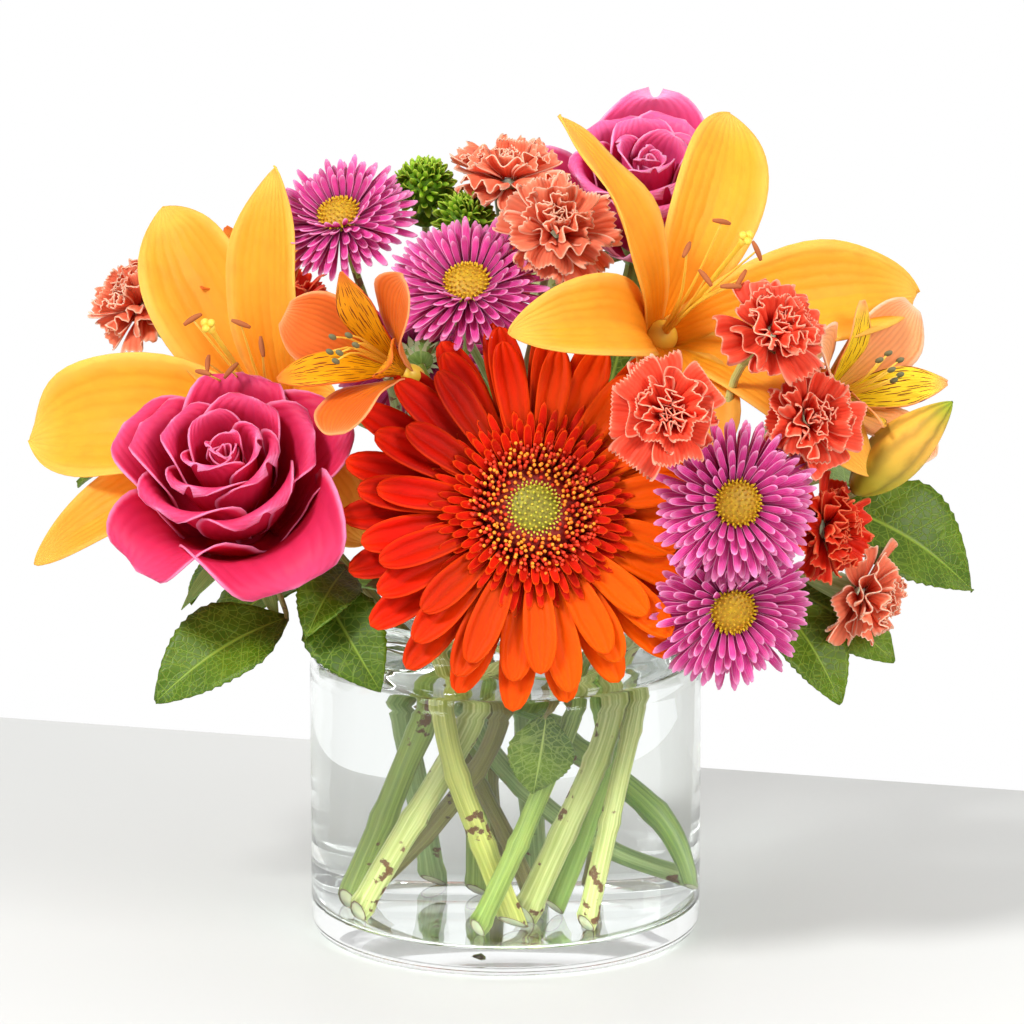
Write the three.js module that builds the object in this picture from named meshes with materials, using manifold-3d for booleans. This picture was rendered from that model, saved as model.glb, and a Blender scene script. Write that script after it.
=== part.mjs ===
// A bouquet in a clear glass vase of water: one orange gerbera, lilies, roses, asters, miniature
// carnations, alstroemeria, green button chrysanthemums and salal leaves.
//
// Millimetres, +Z up. The origin is the middle of the vase's foot, on the table. The front is -Y.
// Each plant is one green body: its stem, its branches, and the leaves and calyxes that grow on them.
// Each bloom is a body of its own, seated on its calyx; a bloom's differently coloured disc is another.

import * as THREE from "three";
import { mergeVertices } from "three/addons/utils/BufferGeometryUtils.js";
import Module from "manifold-3d";

const wasm = await Module();
wasm.setup();

// ---- Driving dimensions ------------------------------------------------------------------------

const GAP = 0.3; // clearance between two bodies that would touch
const CLEAR = 1.1; // clearance between neighbouring stems

const VASE_RADIUS = 63.5;
const VASE_WALL = 3.3;
const VASE_FLOOR = 8;
const VASE_SHOULDER = 95;
const VASE_HEIGHT = 110;
const NECK_RADIUS = 55;
const VASE_SEGMENTS = 24;
const WATER_LEVEL = 90;

const PETAL = 0.9; // thickness of a petal
const LEAF = 1; // thickness of a leaf

// ---- Colours -----------------------------------------------------------------------------------

function finish(color, roughness, opacity = 1) {
  const transparent = opacity < 1;
  return new THREE.MeshStandardMaterial({ color, roughness, metalness: 0, transparent, opacity });
}

const FINISH = {
  glass: finish(0xf2f7f5, 0.03, 0.3),
  water: finish(0xeaf4f2, 0.02, 0.4),
  stem: finish(0x7d9a3c, 0.5),
  leafy: finish(0x3f6b1c, 0.45),
  gerbera: finish(0xf03c0a, 0.55),
  gerberaDisc: finish(0xa8ad3a, 0.8),
  lily: finish(0xf79a1c, 0.5),
  bud: finish(0xd9a63a, 0.5),
  rose: finish(0xe0407f, 0.6),
  aster: finish(0xd24aa8, 0.6),
  asterDisc: finish(0xb98a12, 0.8),
  carnation: finish(0xef6a4f, 0.65),
  alstroemeria: finish(0xf08a3c, 0.55),
  button: finish(0x6f9a1e, 0.7),
};

// ---- Small tools -------------------------------------------------------------------------------

const rad = THREE.MathUtils.degToRad;
const lerp = THREE.MathUtils.lerp;
const vec = (x, y, z) => new THREE.Vector3(x, y, z);
const GOLDEN_ANGLE = 137.508;

// A repeatable stream of numbers from 0 to 1.
function stream(seed) {
  let state = seed * 7919 + 17;
  return () => {
    state = (state * 16807) % 2147483647;
    return state / 2147483647;
  };
}

// A closed geometry as a solid.
function solidOf(geometry) {
  const bare = new THREE.BufferGeometry();
  bare.setAttribute("position", geometry.getAttribute("position"));
  bare.setIndex(geometry.index);
  const merged = mergeVertices(bare, 1e-4);
  const index = merged.index.array;
  const kept = [];
  for (let i = 0; i < index.length; i += 3) {
    const [a, b, c] = [index[i], index[i + 1], index[i + 2]];
    if (a !== b && b !== c && c !== a) kept.push(a, b, c);
  }
  const vertProperties = new Float32Array(merged.getAttribute("position").array);
  const triVerts = new Uint32Array(kept);
  return new wasm.Manifold(new wasm.Mesh({ numProp: 3, vertProperties, triVerts }));
}

// A solid as a geometry.
function geometryOf(solid) {
  const mesh = solid.getMesh();
  const geometry = new THREE.BufferGeometry();
  geometry.setAttribute("position", new THREE.BufferAttribute(mesh.vertProperties, 3));
  geometry.setIndex(new THREE.BufferAttribute(mesh.triVerts, 1));
  geometry.computeVertexNormals();
  return geometry;
}

const moved = (solid, matrix) => solid.transform(Array.from(matrix.elements));
const fused = (solids) => wasm.Manifold.union(solids);

// The largest body of a solid: loose scraps that a cut leaves are dropped.
function largest(solid) {
  const bodies = solid.decompose();
  return bodies.reduce((best, body) => (body.volume() > best.volume() ? body : best));
}

// ---- Blades, spindles, tubes and turned bodies --------------------------------------------------

// The direction that a surface pointAt(u, v) faces. A pointed tip has one.
function normalOf(pointAt, u, edge) {
  const mid = Math.min(Math.max(u, 0.04), 0.94);
  const v = pointAt(u, edge).distanceTo(pointAt(u, 0)) < 1e-3 ? 0 : edge;
  const along = pointAt(mid + 0.02, v * 0.9).sub(pointAt(mid - 0.02, v * 0.9));
  const across = pointAt(mid, v * 0.9 + 0.1).sub(pointAt(mid, v * 0.9 - 0.1));
  return along.cross(across).normalize();
}

// A thin closed blade around the surface pointAt(u, v), with u from 0 at the root to 1 at the tip and
// v from -1 to 1 across. Both faces are split into triangles alike.
function blade(rows, columns, thickness, pointAt) {
  const positions = [];
  const index = [];
  for (const side of [0.5, -0.5]) {
    for (let i = 0; i <= rows; i++) {
      for (let j = 0; j <= columns; j++) {
        const u = i / rows;
        const v = (2 * j) / columns - 1;
        const place = pointAt(u, v).addScaledVector(normalOf(pointAt, u, v), side * thickness);
        positions.push(...place.toArray());
      }
    }
  }
  const half = (rows + 1) * (columns + 1);
  const at = (i, j) => i * (columns + 1) + j;
  const wall = (a, b) => index.push(a, b, b + half, a, b + half, a + half);
  for (let i = 0; i < rows; i++) {
    for (let j = 0; j < columns; j++) {
      const [a, b, c, d] = [at(i, j), at(i, j + 1), at(i + 1, j + 1), at(i + 1, j)];
      index.push(a, c, b, a, d, c);
      index.push(a + half, b + half, c + half, a + half, c + half, d + half);
    }
    wall(at(i + 1, 0), at(i, 0));
    wall(at(i, columns), at(i + 1, columns));
  }
  for (let j = 0; j < columns; j++) {
    wall(at(0, j), at(0, j + 1));
    wall(at(rows, j + 1), at(rows, j));
  }
  const geometry = new THREE.BufferGeometry();
  geometry.setAttribute("position", new THREE.Float32BufferAttribute(positions, 3));
  geometry.setIndex(index);
  return solidOf(geometry);
}

// How wide an outline is at u: `root` at 0, 1 at `widest`, `tip` at 1. A low `blunt` rounds the tip, a
// high `neck` keeps it narrow near the root.
function outline(u, { root = 0.3, widest = 0.6, tip = 0.05, blunt = 0.6, neck = 1 }) {
  if (u < widest) return lerp(root, 1, Math.sin((Math.PI / 2) * (u / widest)) ** neck);
  const rest = Math.max(Math.cos((Math.PI / 2) * ((u - widest) / (1 - widest))), 0);
  return lerp(tip, 1, rest ** blunt);
}

// The middle line of a petal on a bloom that faces +Z, as places [out, up] with a lean. It starts
// `start` from the axis and `rise` up, leaning `lift` degrees above the bloom's plane, and its lean
// changes by `curl` degrees evenly on the way and by `flare` degrees near the tip.
function middleLine(p, grow) {
  const count = 20;
  const line = [];
  let [out, up] = [p.start, p.rise];
  for (let k = 0; k <= count; k++) {
    const u = k / count;
    const lean = rad(p.lift + p.curl * u + (p.flare ?? 0) * u ** 3);
    line.push([out, up, lean]);
    out += ((p.length + grow) / count) * Math.cos(lean);
    up += ((p.length + grow) / count) * Math.sin(lean);
  }
  return (u) => {
    const place = Math.min(Math.max(u, 0), 1) * count;
    const k = Math.min(Math.floor(place), count - 1);
    return line[k].map((value, axis) => lerp(value, line[k + 1][axis], place - k));
  };
}

// The surface of a petal at `angle` round the bloom. `wrap` is the radius it is curved to across its
// width, `skew` lifts one edge over its neighbour, `wave` ruffles it, `frill` notches its end, `roll`
// turns the corners of its end outwards, and `twist` turns its end about its length.
function petalSurface(p, grow) {
  const middle = middleLine(p, grow);
  const turn = rad(p.angle);
  const wrap = p.wrap ?? 1e6;
  const frill = p.frill ?? 0;
  return (u, v) => {
    const reach = 1 - frill * (1 - Math.cos((Math.PI / 2) * p.columns * (v + 1))) * 0.5;
    const [out, up, lean] = middle(u * reach);
    const side = ((p.width / 2) * outline(Math.min(u, 1), p) + grow) * v;
    const ruffle = (p.wave ?? 0) * u * Math.sin((p.waves ?? 1) * Math.PI * v + (p.phase ?? 0));
    const tilt = ((p.skew ?? 0) * u * side) / (p.width / 2);
    const rolled = (p.roll ?? 0) * u ** 5 * v * v;
    const risen = wrap * (1 - Math.cos(side / wrap)) + ruffle + tilt - rolled;
    const spread = wrap * Math.sin(side / wrap);
    const bend = rad(p.twist ?? 0) * u;
    const across = spread * Math.cos(bend) - risen * Math.sin(bend);
    const lifted = spread * Math.sin(bend) + risen * Math.cos(bend);
    const radial = out - Math.sin(lean) * lifted;
    return vec(
      radial * Math.cos(turn) - across * Math.sin(turn),
      radial * Math.sin(turn) + across * Math.cos(turn),
      up + Math.cos(lean) * lifted,
    );
  };
}

// A whorl of petals joined at a flat hub: neighbours share the corners of the hub between them. What
// later bodies are cut back from is the same petals, each closed on its own.
function whorl(petals, grow) {
  const thickness = (petals[0].thickness ?? PETAL) + 2 * grow;
  const surfaces = petals.map((p) => petalSurface(p, grow));
  const corners = surfaces.map((surface, k) => {
    const next = surfaces[(k + 1) % surfaces.length];
    return surface(0, 1).add(next(0, -1)).multiplyScalar(0.5);
  });
  const middle = corners.reduce((sum, corner) => sum.add(corner), vec(0, 0, 0));
  middle.divideScalar(corners.length);

  const closed = (chosen) => {
    const positions = [];
    const index = [];
    const pair = (place, normal) => {
      for (const side of [0.5, -0.5]) {
        positions.push(...place.clone().addScaledVector(normal, side * thickness).toArray());
      }
      return positions.length / 3 - 2;
    };
    const both = (a, b, c) => index.push(a, b, c, a + 1, c + 1, b + 1);
    const wall = (a, b) => index.push(a, b, b + 1, a, b + 1, a + 1);
    const hub = pair(middle, vec(0, 0, 1));
    const corner = corners.map((place) => pair(place, vec(0, 0, 1)));
    for (const k of chosen) {
      const p = petals[k];
      const left = corner[(k + corner.length - 1) % corner.length];
      const right = corner[k];
      both(hub, left, right);
      const grid = [];
      for (let i = 1; i <= p.rows; i++) {
        const row = [];
        for (let j = 0; j <= p.columns; j++) {
          const [u, v] = [i / p.rows, (2 * j) / p.columns - 1];
          row.push(pair(surfaces[k](u, v), normalOf(surfaces[k], u, v)));
        }
        grid.push(row);
      }
      const half = Math.floor(p.columns / 2);
      for (let j = 0; j < p.columns; j++) both(j < half ? left : right, grid[0][j], grid[0][j + 1]);
      both(left, grid[0][half], right);
      wall(grid[0][0], left);
      wall(right, grid[0][p.columns]);
      for (let i = 0; i + 1 < p.rows; i++) {
        for (let j = 0; j < p.columns; j++) {
          both(grid[i][j], grid[i + 1][j + 1], grid[i][j + 1]);
          both(grid[i][j], grid[i + 1][j], grid[i + 1][j + 1]);
        }
        wall(grid[i + 1][0], grid[i][0]);
        wall(grid[i][p.columns], grid[i + 1][p.columns]);
      }
      const end = grid[p.rows - 1];
      for (let j = 0; j < p.columns; j++) wall(end[j + 1], end[j]);
      if (chosen.length < petals.length) {
        wall(left, hub);
        wall(hub, right);
      }
    }
    const geometry = new THREE.BufferGeometry();
    geometry.setAttribute("position", new THREE.Float32BufferAttribute(positions, 3));
    geometry.setIndex(index);
    return solidOf(geometry);
  };
  return grow > 0 ? petals.map((p, k) => closed([k])) : [closed(petals.map((p, k) => k))];
}

// A whorl of `count` alike petals, with `vary` of irregularity.
function ring(count, p, vary, random, grow) {
  const petals = [];
  for (let k = 0; k < count; k++) {
    const wobble = () => 1 + vary * (random() - 0.5);
    const angle = p.angle + (360 / count) * (k + vary * (random() - 0.5));
    const drawn = { ...p, angle, length: p.length * wobble(), lift: p.lift * wobble() };
    drawn.phase = 2 * Math.PI * random();
    petals.push(drawn);
  }
  return whorl(petals, grow);
}

// The post that joins the hubs of a bloom's whorls.
function post(radius, low, high, grow) {
  const profile = [
    [0, low - grow],
    [radius + grow, low - grow],
    [radius + grow, high + grow],
    [0, high + grow],
  ];
  return turned(profile, 4);
}

// A floret: a three-sided spindle between two points, `width` across `facing` and `depth` along it.
function spindle(from, to, width, depth, widest, facing, grow) {
  const axis = to.clone().sub(from);
  const length = axis.length();
  axis.normalize();
  const across = vec(0, 0, 0).crossVectors(facing, axis).normalize();
  const through = vec(0, 0, 0).crossVectors(across, axis);
  const geometry = new THREE.SphereGeometry(1, 3, 2);
  const position = geometry.getAttribute("position");
  for (let i = 0; i < position.count; i++) {
    const [x, y, z] = [position.getX(i), position.getY(i), position.getZ(i)];
    let along = length * widest;
    if (y > 0.5) along = length + grow;
    if (y < -0.5) along = -grow;
    const place = from.clone().addScaledVector(axis, along);
    place.addScaledVector(across, 1.15 * z * (width / 2 + grow));
    place.addScaledVector(through, -x * (depth / 1.5 + grow));
    position.setXYZ(i, place.x, place.y, place.z);
  }
  return solidOf(geometry);
}

// Florets on a dome of `radius` about +Z, spread by the golden angle between two angles from +Z.
function florets(count, p, random, grow) {
  const made = [];
  for (let k = 0; k < count; k++) {
    const part = (k + 0.5) / count;
    const polar = Math.acos(lerp(Math.cos(rad(p.from)), Math.cos(rad(p.to)), part));
    const turn = rad(k * GOLDEN_ANGLE);
    const ray = vec(Math.sin(polar) * Math.cos(turn), Math.sin(polar) * Math.sin(turn), Math.cos(polar));
    const centre = vec(0, 0, p.height);
    const root = centre.clone().addScaledVector(ray, p.radius - p.sunk);
    const length = (p.length + p.sunk) * lerp(0.9, 1.1, random());
    const tip = root.clone().addScaledVector(ray, length);
    tip.addScaledVector(vec(0, 0, 1), p.incurve * length * Math.sin(polar));
    const facing = vec(-ray.x, -ray.y, ray.z + 0.3);
    made.push(spindle(root, tip, p.width, p.depth, p.widest, facing, grow));
  }
  return made;
}

// A body turned about +Z from [radius, height] pairs that start and end on the axis, going up outside.
function turned(profile, segments) {
  const points = profile.map(([radius, height]) => new THREE.Vector2(radius, height));
  return solidOf(new THREE.LatheGeometry(points, segments).rotateX(Math.PI / 2));
}

// A dome on a flat base at height 0, of tight florets raised by turns from its surface.
function floretDome(radius, rise, around, rings, relief, grow) {
  const profile = [[0, -grow]];
  for (let k = 0; k < rings; k++) {
    const angle = (Math.PI / 2) * (k / rings) * 0.98;
    profile.push([(radius + grow) * Math.cos(angle), (rise + grow) * Math.sin(angle) - (k === 0 ? grow : 0)]);
  }
  profile.push([0, rise + grow]);
  const points = profile.map(([out, height]) => new THREE.Vector2(out, height));
  const geometry = new THREE.LatheGeometry(points, around);
  geometry.rotateX(Math.PI / 2);
  const position = geometry.getAttribute("position");
  for (let i = 0; i < position.count; i++) {
    const level = i % (rings + 2);
    const turn = Math.floor(i / (rings + 2)) % around;
    if (level < 2 || level > rings) continue;
    const raised = 1 + ((turn + level) % 2 ? relief : 0) / radius;
    position.setXYZ(i, position.getX(i) * raised, position.getY(i) * raised, position.getZ(i) * raised);
  }
  return solidOf(geometry);
}

function ellipsoid(radius, halfHeight, height, around, down, grow) {
  const geometry = new THREE.SphereGeometry(1, around, down);
  geometry.rotateX(Math.PI / 2);
  geometry.scale(radius + grow, radius + grow, halfHeight + grow);
  return solidOf(geometry.translate(0, 0, height));
}

// A round rod along a list of points.
function tube(points, radius, sides, steps, grow) {
  const section = new THREE.Shape();
  for (let i = 0; i < sides; i++) {
    const angle = (i / sides) * 2 * Math.PI;
    const [x, y] = [(radius + grow) * Math.cos(angle), (radius + grow) * Math.sin(angle)];
    if (i === 0) section.moveTo(x, y);
    else section.lineTo(x, y);
  }
  section.closePath();
  const extrudePath = new THREE.CatmullRomCurve3(points, false, "centripetal");
  return solidOf(new THREE.ExtrudeGeometry(section, { steps, bevelEnabled: false, extrudePath }));
}

// The place of a bloom: its own +Z turned to face a compass angle from the front towards +X and an
// angle above the table, after a roll about its own axis.
function standing({ at, azimuth, elevation, roll = 0 }) {
  const forward = facingOf(azimuth, elevation);
  const right = vec(Math.cos(rad(azimuth)), Math.sin(rad(azimuth)), 0);
  const up = vec(0, 0, 0).crossVectors(forward, right);
  const matrix = new THREE.Matrix4().makeBasis(right, up, forward);
  matrix.multiply(new THREE.Matrix4().makeRotationZ(rad(roll)));
  return matrix.setPosition(...at);
}

function facingOf(azimuth, elevation) {
  const [a, e] = [rad(azimuth), rad(elevation)];
  return vec(Math.sin(a) * Math.cos(e), -Math.cos(a) * Math.cos(e), Math.sin(e));
}

// ---- The kinds of bloom, each facing +Z from the origin at its face ------------------------------

// `seat` is how far behind the face the stem ends. `bloom` and `disc` give the coloured bodies,
// `calyx` the green parts behind them, all as lists of solids that are fused.

const gerbera = {
  seat: 14,
  calyx: (p, grow) => [
    turned(
      [
        [0, -16 - grow],
        [4 + grow, -15.5 - grow],
        [15 + grow, -7.4 + grow],
        [0, -7.4 + grow],
      ],
      9,
    ),
  ],
  bloom: (p, grow) => {
    const random = stream(p.seed);
    const ray = { widest: 0.62, root: 0.3, tip: 0.35, blunt: 0.7, skew: 1.3, neck: 1.3, rows: 2, columns: 1 };
    const low = { ...ray, angle: 0, start: 15.5, rise: -6.4, length: 46.5, width: 12.6, lift: 4, curl: -6 };
    const high = { ...ray, angle: 9, start: 15, rise: -4.4, length: 39, width: 13, lift: 13, curl: -14 };
    const inner = { ...ray, angle: 0, start: 15, rise: -2.8, length: 13, width: 5.6, lift: 30, curl: -10 };
    return [
      post(7, -6.4, -2.8, grow),
      ...ring(19, low, 0.1, random, grow),
      ...ring(16, high, 0.1, random, grow),
      ...ring(15, { ...inner, tip: 0.1, rows: 1, root: 0.9, widest: 0.2 }, 0.06, random, grow),
    ];
  },
  disc: (p, grow) => [floretDome(14.6, 6, 16, 5, 1.3, grow).translate([0, 0, -2])],
};

const lily = {
  seat: 27,
  calyx: () => [],
  bloom: (p, grow) => {
    const random = stream(p.seed);
    const shape = { root: 0.16, widest: 0.56, tip: 0, blunt: 0.7, neck: 1.5, rows: 5, columns: 2 };
    const whorlOf = (outer, start, rise) => {
      const chosen = p.tepals.filter((tepal) => tepal.outer === outer);
      return whorl(
        chosen.map((tepal) => ({ ...shape, start, rise, wrap: 26, thickness: 1.1, ...tepal })),
        grow,
      );
    };
    const parts = [post(2.2, -24, -16, grow), ...whorlOf(true, 3.4, -24), ...whorlOf(false, 3, -21.5)];
    for (let k = 0; k < 6; k++) {
      const turn = rad(k * 60 + 20);
      const far = lerp(13, 19, random());
      const root = vec(0.6 * Math.cos(turn), 0.6 * Math.sin(turn), -18);
      const tip = vec(far * Math.cos(turn), far * Math.sin(turn) + 4, lerp(36, 44, random()));
      parts.push(spindle(root, tip, 1.7, 1.5, 0.4, vec(0, 0, 1), grow));
      const side = vec(-Math.sin(turn), Math.cos(turn), 0);
      const [from, to] = [-5, 5].map((along) => tip.clone().addScaledVector(side, along));
      parts.push(spindle(from, to, 2.8, 2.4, 0.5, vec(0, 0, 1), grow));
    }
    parts.push(tube([vec(0, 0, -17), vec(1, 3, 15), vec(2, 8, 52)], 1, 3, 2, grow));
    parts.push(ellipsoid(2.6, 1.8, 0, 5, 3, grow).translate([2, 8, 51.5]));
    return parts;
  },
};

const lilyBud = {
  seat: 0,
  calyx: () => [],
  bloom: (p, grow) => {
    const geometry = new THREE.SphereGeometry(1, 9, 6).rotateX(Math.PI / 2);
    const position = geometry.getAttribute("position");
    for (let i = 0; i < position.count; i++) {
      const [x, y, z] = [position.getX(i), position.getY(i), position.getZ(i)];
      const fluted = 1 + 0.12 * Math.cos(3 * Math.atan2(y, x));
      const full = (8 - 1.6 * z) * fluted + grow;
      position.setXYZ(i, x * full, y * full, (z + 1) * (p.length / 2 + grow) - grow);
    }
    return [solidOf(geometry)];
  },
};

const rose = {
  seat: 20,
  calyx: (p, grow) => {
    const random = stream(p.seed + 5);
    const parts = [ellipsoid(6.4, 4.6, -16.9 * p.size - 5, 6, 3, grow)];
    for (let k = 0; k < 5; k++) {
      const turn = rad(k * 72 + 15 * random());
      const from = vec(3 * Math.cos(turn), 3 * Math.sin(turn), -17 * p.size - 6);
      const to = vec(25 * Math.cos(turn), 25 * Math.sin(turn), -26 * p.size - 4 * random());
      parts.push(spindle(from, to, 6, 1.4, 0.35, vec(0, 0, 1), grow));
    }
    return parts;
  },
  bloom: (p, grow) => {
    const random = stream(p.seed);
    const cup = { root: 0.2, widest: 0.66, tip: 0.3, blunt: 0.42, rows: 3, columns: 3, skew: 3, neck: 1.1 };
    const parts = [post(3 * p.size, -15.4 * p.size, 6 * p.size, grow)];
    const tier = (count, drawn) => {
      const sized = { ...cup, ...drawn };
      for (const key of ["start", "rise", "length", "width", "wrap"]) sized[key] *= p.size;
      parts.push(...ring(count, sized, 0.08, random, grow));
    };
    const heart = { start: 3, rise: 5, length: 21, width: 15, wrap: 5.5, lift: 84, curl: 4, roll: 1 };
    const inner = { start: 5, rise: 1, length: 28, width: 27, wrap: 10, lift: 64, curl: 34, roll: 2 };
    const middle = { start: 6, rise: -5, length: 35, width: 34, wrap: 15, lift: 50, curl: 50, roll: 4 };
    const outer = { start: 7, rise: -10, length: 42, width: 40, wrap: 20, lift: 34, curl: 84, roll: 5 };
    tier(3, { ...heart, angle: 30, rows: 1, columns: 2 });
    tier(3, { ...inner, angle: 75, rows: 2 });
    tier(4, { ...middle, angle: 20, rows: 2 });
    tier(5, { ...outer, angle: 44, flare: -50 });
    const guard = { ...cup, start: 7, rise: -15, wrap: 28, roll: 4, rows: 4 };
    const guards = (p.guards ?? []).map((drawn) => ({ ...guard, ...drawn, phase: 2 * Math.PI * random() }));
    if (guards.length > 0) parts.push(...whorl(guards, grow));
    return parts;
  },
};

const aster = {
  seat: 7,
  calyx: (p, grow) => [
    turned(
      [
        [0, -9.5 - grow],
        [2.6 + grow, -9 - grow],
        [7 + grow, -3.9 + grow],
        [0, -3.9 + grow],
      ],
      6,
    ),
  ],
  bloom: (p, grow) => {
    const random = stream(p.seed);
    const ray = { widest: 0.6, root: 0.42, tip: 0, blunt: 0.5, rows: 2, columns: 1, skew: 0.8, neck: 1.3 };
    const low = { ...ray, angle: 0, start: 6.6, rise: -3, length: 19, width: 7.2, lift: 2, curl: -12 };
    const high = { ...ray, angle: 14, start: 6, rise: -1.2, length: 15.5, width: 7.4, lift: 14, curl: 6 };
    return [
      post(3, -3, -1.2, grow),
      ...ring(12, low, 0.1, random, grow),
      ...ring(10, high, 0.1, random, grow),
    ];
  },
  disc: (p, grow) => [floretDome(7, 4, 10, 3, 0.9, grow).translate([0, 0, 0.5])],
};

const carnation = {
  seat: 8,
  calyx: (p, grow) => [
    turned(
      [
        [0, -21 - grow],
        [2.4 + grow, -20 - grow],
        [4.8 + grow, -3.4 + grow],
        [0, -3.4 + grow],
      ],
      6,
    ),
  ],
  bloom: (p, grow) => {
    const random = stream(p.seed);
    const sheet = { root: 0.22, widest: 0.95, tip: 0.95, waves: 2.5, frill: 0.18, skew: 1.2, wave: 1.2 };
    const low = { ...sheet, angle: 0, start: 3.9, rise: -2.5, length: 15, width: 18, lift: 20, curl: -12 };
    const high = { ...sheet, angle: 40, start: 3, rise: 1, length: 13, width: 15.5, lift: 52, curl: -12 };
    const heart = { ...sheet, angle: 10, start: 2.2, rise: 3, length: 9, width: 9, lift: 76, curl: -10 };
    return [
      post(2, -2.5, 3, grow),
      ...ring(5, { ...low, rows: 1, columns: 3 }, 0.12, random, grow),
      ...ring(4, { ...high, rows: 1, columns: 3 }, 0.12, random, grow),
      ...ring(3, { ...heart, rows: 1, columns: 2 }, 0.12, random, grow),
    ];
  },
};

const alstroemeria = {
  seat: 17,
  calyx: (p, grow) => [ellipsoid(3.6, 5, -20.5, 5, 3, grow)],
  bloom: (p, grow) => {
    const random = stream(p.seed);
    const tepal = { wrap: 24, curl: -42, neck: 1.3, rows: 3 };
    const wide = { ...tepal, root: 0.16, widest: 0.72, tip: 0.3, blunt: 0.8, columns: 2 };
    const slim = { ...tepal, root: 0.22, widest: 0.62, tip: 0.08, blunt: 0.9, columns: 1 };
    const broad = { ...wide, start: 2.6, rise: -14.5 };
    const narrow = { ...slim, start: 2.2, rise: -12 };
    const parts = [
      post(1.6, -14.5, -8, grow),
      ...ring(3, { ...broad, angle: 30, length: 43, width: 25, lift: 70 }, 0.1, random, grow),
      ...ring(3, { ...narrow, angle: 90, length: 40, width: 14, lift: 77 }, 0.1, random, grow),
    ];
    for (let k = 0; k < 3; k++) {
      const turn = rad(k * 120 + 30);
      const from = vec(0.6 * Math.cos(turn), 0.6 * Math.sin(turn), -9);
      const to = vec(6 * Math.cos(turn), 6 * Math.sin(turn) - 4, lerp(13, 18, random()));
      parts.push(spindle(from, to, 1.6, 1.6, 0.8, vec(1, 0, 0), grow));
    }
    return parts;
  },
};

const button = {
  seat: 10,
  calyx: (p, grow) => [ellipsoid(5, 2.4, -11.3, 6, 3, grow)],
  bloom: (p, grow) => {
    const random = stream(p.seed);
    const head = { radius: 8, height: 0, sunk: 1.2, length: 4.4, width: 5.8, depth: 1.8, widest: 0.55 };
    const parts = [ellipsoid(8.3, 8, 0, 7, 4, grow)];
    parts.push(...florets(19, { ...head, from: 6, to: 110, incurve: 0.35 }, random, grow));
    return parts;
  },
};

// ---- The blooms --------------------------------------------------------------------------------

// Where each bloom's face is, which way it looks, and the plant it grows on.

const LEFT_LILY_TEPALS = [
  { outer: true, angle: 8, length: 46, width: 27, lift: 88, curl: -76 },
  { outer: true, angle: 130, length: 90, width: 40, lift: 58, curl: -70 },
  { outer: true, angle: 222, length: 94, width: 24, lift: 44, curl: -62 },
  { outer: false, angle: 90, length: 92, width: 27, lift: 70, curl: -60 },
  { outer: false, angle: 193, length: 92, width: 46, lift: 54, curl: -84, twist: -18 },
  { outer: false, angle: 318, length: 52, width: 26, lift: 50, curl: -130 },
];
const RIGHT_LILY_TEPALS = [
  { outer: true, angle: 62, length: 86, width: 33, lift: 54, curl: -92 },
  { outer: true, angle: 184, length: 84, width: 30, lift: 76, curl: -92 },
  { outer: true, angle: 308, length: 90, width: 27, lift: 68, curl: -90 },
  { outer: false, angle: 0, length: 92, width: 36, lift: 60, curl: -90 },
  { outer: false, angle: 124, length: 92, width: 26, lift: 70, curl: -72, twist: 46 },
  { outer: false, angle: 256, length: 62, width: 38, lift: 70, curl: -120 },
];

// The outermost petals of the open rose, which turn back over its calyx.
const ROSE_GUARDS = [
  { angle: 50, length: 44, width: 50, lift: 30, curl: 80, flare: -40 },
  { angle: 115, length: 47, width: 46, lift: 30, curl: 90, flare: -110 },
  { angle: 190, length: 46, width: 48, lift: 24, curl: 100, flare: -190 },
  { angle: 260, length: 52, width: 62, lift: 20, curl: 100, flare: -185 },
  { angle: 343, length: 48, width: 48, lift: 30, curl: 80, flare: -110, tip: 0.1, blunt: 0.8 },
];
const BACK_ROSE_GUARDS = [
  { angle: 0, length: 46, width: 46, lift: 20, curl: 80 },
  { angle: 100, length: 44, width: 44, lift: 20, curl: 80, flare: -60 },
  { angle: 220, length: 44, width: 44, lift: 20, curl: 80, flare: -60 },
];

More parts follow.
